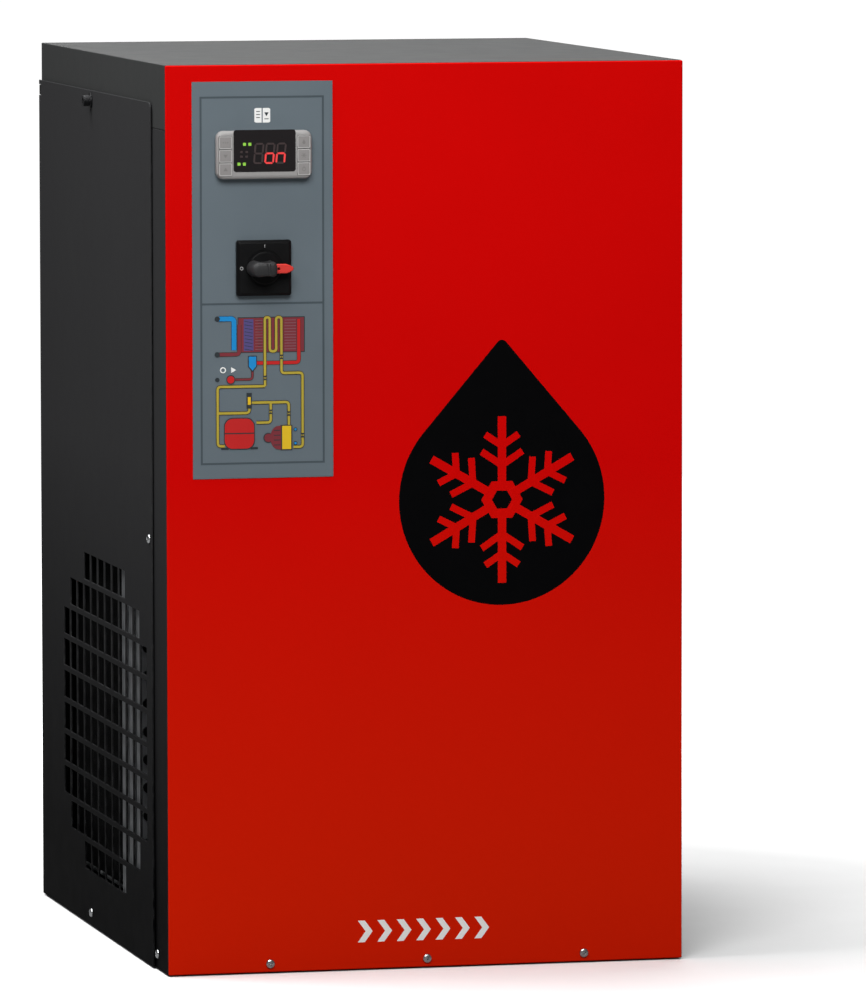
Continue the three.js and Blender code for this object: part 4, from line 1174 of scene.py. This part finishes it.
def make_nameplate():
    """A blank rating plate held by four rivets."""
    plate = Piece("blank_rating_plate")
    plate.prism(rounded(-60, 30, 500, 556, 4, 5), "y", REAR + 0.1, REAR + 0.9)
    plate.done(ALUMINIUM, "galvanised", bevel=0.25)
    border = Print("rating_plate_lines", 0, 0, REAR + 0.9, 0, side=1)
    border.frame(-55, 25, 505, 551, 0.7)
    for row in range(4):
        z = 514 + 9 * row
        border.bar((-50, z), (20, z), 0.5)
    border.bar((-20, 505), (-20, 551), 0.5)
    border.ink(INK_DARK, "galvanised")
    for i, centre in enumerate(span(-56.5, 26.5, 503.5, 552.5)):
        rivet = Piece(f"rating_plate_rivet_{i + 1}")
        rivet.turned([(REAR - 0.5, 1.2), (REAR + 0.8, 1.2), (REAR + 0.9, 2.4), (REAR + 1.5, 2.1),
                      (REAR + 2.0, 1.2), (REAR + 2.1, 0.5)], "y", centre, 20)
        rivet.done(ALUMINIUM, "galvanised")


# ---------- Inside ----------

FIN_PITCH, FIN_THICK = 2.6, 0.45
TUBE_PITCH, TUBE_FOOT, TUBE_ROWS = 25, 66, 11


def make_condenser():
    fins = Piece("condenser_fins")
    y = -78.6
    while y < 174.6:
        fins.box((-219.4, -170.6), (y, y + FIN_THICK), (48, 336))
        y += FIN_PITCH
    fins.done(FINS, "coil_black", replaces=("condenser_core",), angle=20)
    frame_piece = Piece("condenser_frame")
    for z0, z1 in ((44.6, 47.0), (337.0, 339.4)):
        frame_piece.box((-219.8, -170.2), (-79.8, 175.8), (z0, z1))
    for y0, y1 in ((-79.8, -79.0), (175.0, 175.8)):
        frame_piece.box((-219.8, -170.2), (y0, y1), (47, 337))
    frame_piece.done(GALVANISED, "galvanised", bevel=0.2, segments=1)
    tubes = Piece("condenser_tubes")
    for column, x in enumerate((-207, -183)):
        for row in range(TUBE_ROWS):
            tubes.turned([(-86, 4.8), (178, 4.8)], "y", (x, TUBE_FOOT + TUBE_PITCH * row), 12)
        for row in range(column, TUBE_ROWS - 1, 2):
            radius = TUBE_PITCH / 2
            bend = arc((radius, radius), -0.5, 0.5, 12, (177.5, TUBE_FOOT + TUBE_PITCH * row + radius))
            tubes.tube([(x, *point) for point in bend], 4.7)
    tubes.done(FINS, "coil_black")


BLADES, BLADE_ROOT, BLADE_TIP = 5, 27, 110.5


def make_fan():
    """Hub and five swept, cambered blades, and a ribbed motor can."""
    fan = Piece("fan_wheel")
    fan.turned([(-157, 26), (-156, 29), (-154, 30), (-135.6, 30), (-135, 29)], "x", FAN_CENTRE, 48)
    fan.turned([(-136, 4.0), (-115, 4.0)], "x", FAN_CENTRE, 16)
    for blade in range(BLADES):
        turn = Matrix.Rotation(2 * math.pi * blade / BLADES, 4, "X")
        rings = []
        for k in range(9):
            t = k / 8
            radius = BLADE_ROOT + (BLADE_TIP - BLADE_ROOT) * t
            chord = 0.50 + 0.10 * t
            sweep = 0.20 * t * t
            points = []
            for s in range(9):
                share = s / 8 - 0.5
                angle = share * chord * (1.25 - 0.6 * t) + sweep
                lift = (share * 17.5 * (1 - 0.28 * t)) + 3.0 * (1 - 4 * share * share) * (1 - 0.5 * t)
                points.append(Vector((-146.6 + lift, radius * math.sin(angle), radius * math.cos(angle))))
            thick = Vector((1.5, 0, 0))
            rings.append(points + [p + thick for p in points[::-1]])
        verts = fan.loft(rings)
        fan.move(verts, turn)
        fan.move(verts, Matrix.Translation((0, *FAN_CENTRE)))
    fan.done(PLASTIC, "fan_black", body="fan", replaces=("fan_rotor",))
    motor = Piece("fan_motor_can")
    profile = [(-132, 40.5), (-130.8, 42)]
    x = -127.0
    while x < -70:
        profile += [(x, 42), (x + 0.6, 39.4), (x + 3.2, 39.4), (x + 3.8, 42)]
        x += 7.0
    profile += [(-62, 42), (-60, 40.4), (-58.5, 34), (-52, 33), (-50.2, 30)]
    motor.turned(profile, "x", FAN_CENTRE, 48)
    motor.bore([(-134, 5.0), (-104, 5.0)], "x", FAN_CENTRE, 20)
    motor.done(ALUMINIUM, "motor_grey", replaces=("fan_motor",))


def make_compressor():
    x, y = COMPRESSOR
    base = 24.3
    profile = [(0, 8), (0.4, 60), (5, 75), (14, 84), (34, 89.6), (86, 90), (88, 92.4), (89.4, 92.7),
               (97, 92.7), (98.4, 92.2), (100, 90), (158, 90), (176, 85.5), (192, 74), (204, 56), (210, 34),
               (211.8, 8)]
    shell = Piece("compressor_can")
    shell.turned([(base + h, r) for h, r in profile], "z", COMPRESSOR, 64)
    shell.done(ENAMEL, "compressor_black", replaces=("compressor_shell",))
    waist = [(1.9, 11.5), (2.6, 13), (6.2, 13), (7.2, 10), (10.4, 9.6), (13.6, 10), (14.8, 13), (17.6, 13),
             (18.6, 11.6)]
    for i, centre in enumerate(span(x - 92, x + 92, y - 62, y + 62)):
        grommet = Piece(f"compressor_mount_{i + 1}")
        grommet.turned(waist, "z", centre, 32)
        grommet.done(RUBBER, "rubber", replaces=(f"compressor_grommet_{i + 1}",))
    box = Piece("compressor_terminal_cover")
    middle = (95, 120)
    box.stack([(-32.5, pad(middle, 26, 30, 5)), (-52, pad(middle, 26, 30, 5)), (-57, pad(middle, 25, 29, 5)),
               (-59.8, pad(middle, 22, 26, 4))], "y")
    box.turned([(-60, 3.0), (-58, 3.0)], "y", middle, 20)
    box.done(PLASTIC, "fan_black", replaces=("compressor_terminal_box",), bevel=0.5)


def make_circuit_parts():
    drier = Piece("filter_drier_can")
    drier.turned([(390, 5.8), (397, 6), (399, 8), (408, 18), (413, 20), (415, 20.0), (416, 19.3), (479, 19.3),
                  (480, 20), (483, 20), (488, 17.5), (496, 8), (498, 6), (504.8, 5.8)], "z", (-110, 205), 40)
    drier.done(COPPER, "copper_pipe", replaces=("filter_drier",))
    valve = Piece("hot_gas_solenoid")
    centre = (-10, 30)
    block = pad(centre, 15.8, 15.8, 3)
    valve.stack([(400.2, block), (439, block), (439.9, pad(centre, 14.8, 14.8, 3))], "z")
    valve.turned([(438, 12), (441, 14.8), (467, 14.8), (469.6, 12)], "z", centre, 36)
    valve.done(BRASS, "brass_fitting", replaces=("hot_gas_valve",), bevel=0.3)
    drain = Piece("drain_solenoid")
    drain.prism(pad((-28, 190), 15.8, 15.8, 3), "z", 380.2, 419)
    drain.turned([(-13, 15), (-11.5, 16.8), (20, 16.8), (21.8, 14)], "x", (190, 398), 36)
    drain.done(BRASS, "brass_fitting", replaces=("drain_valve",), bevel=0.3)
    vessel = Piece("separator_vessel")
    vessel.turned([(420, 16), (424, 24), (431, 32), (446, 38), (476, 38), (476.6, 37.4), (478, 37.4),
                   (478.6, 38), (590, 38), (590.6, 37.4), (592, 37.4), (592.6, 38), (624, 38), (639, 32),
                   (646, 24), (649.8, 16)], "z", (-28, 190), 48)
    vessel.turned([(-10, 12.8), (34.4, 12.8)], "x", (190, 590), 24)
    vessel.done(FOAM, "foam_insulation", replaces=("condensate_separator",))
    outer, inner = rounded(34.2, 195.8, 73.2, 272.2, 18, 6), rounded(35.2, 194.8, 74.2, 271.9, 17.4, 6)
    for i, z in enumerate((440, 640)):
        strap = Piece(f"exchanger_strap_{i + 1}")
        strap.hoop(outer, inner, "z", z, z + 14)
        strap.done(GALVANISED, "galvanised")


make_fasteners()
make_label()
make_emblem()
make_chevrons()
make_port_signs()
make_controller()
make_switch()
make_ports()
make_gland()
make_drain_outlet()
make_nameplate()
make_condenser()
make_fan()
make_compressor()
make_circuit_parts()
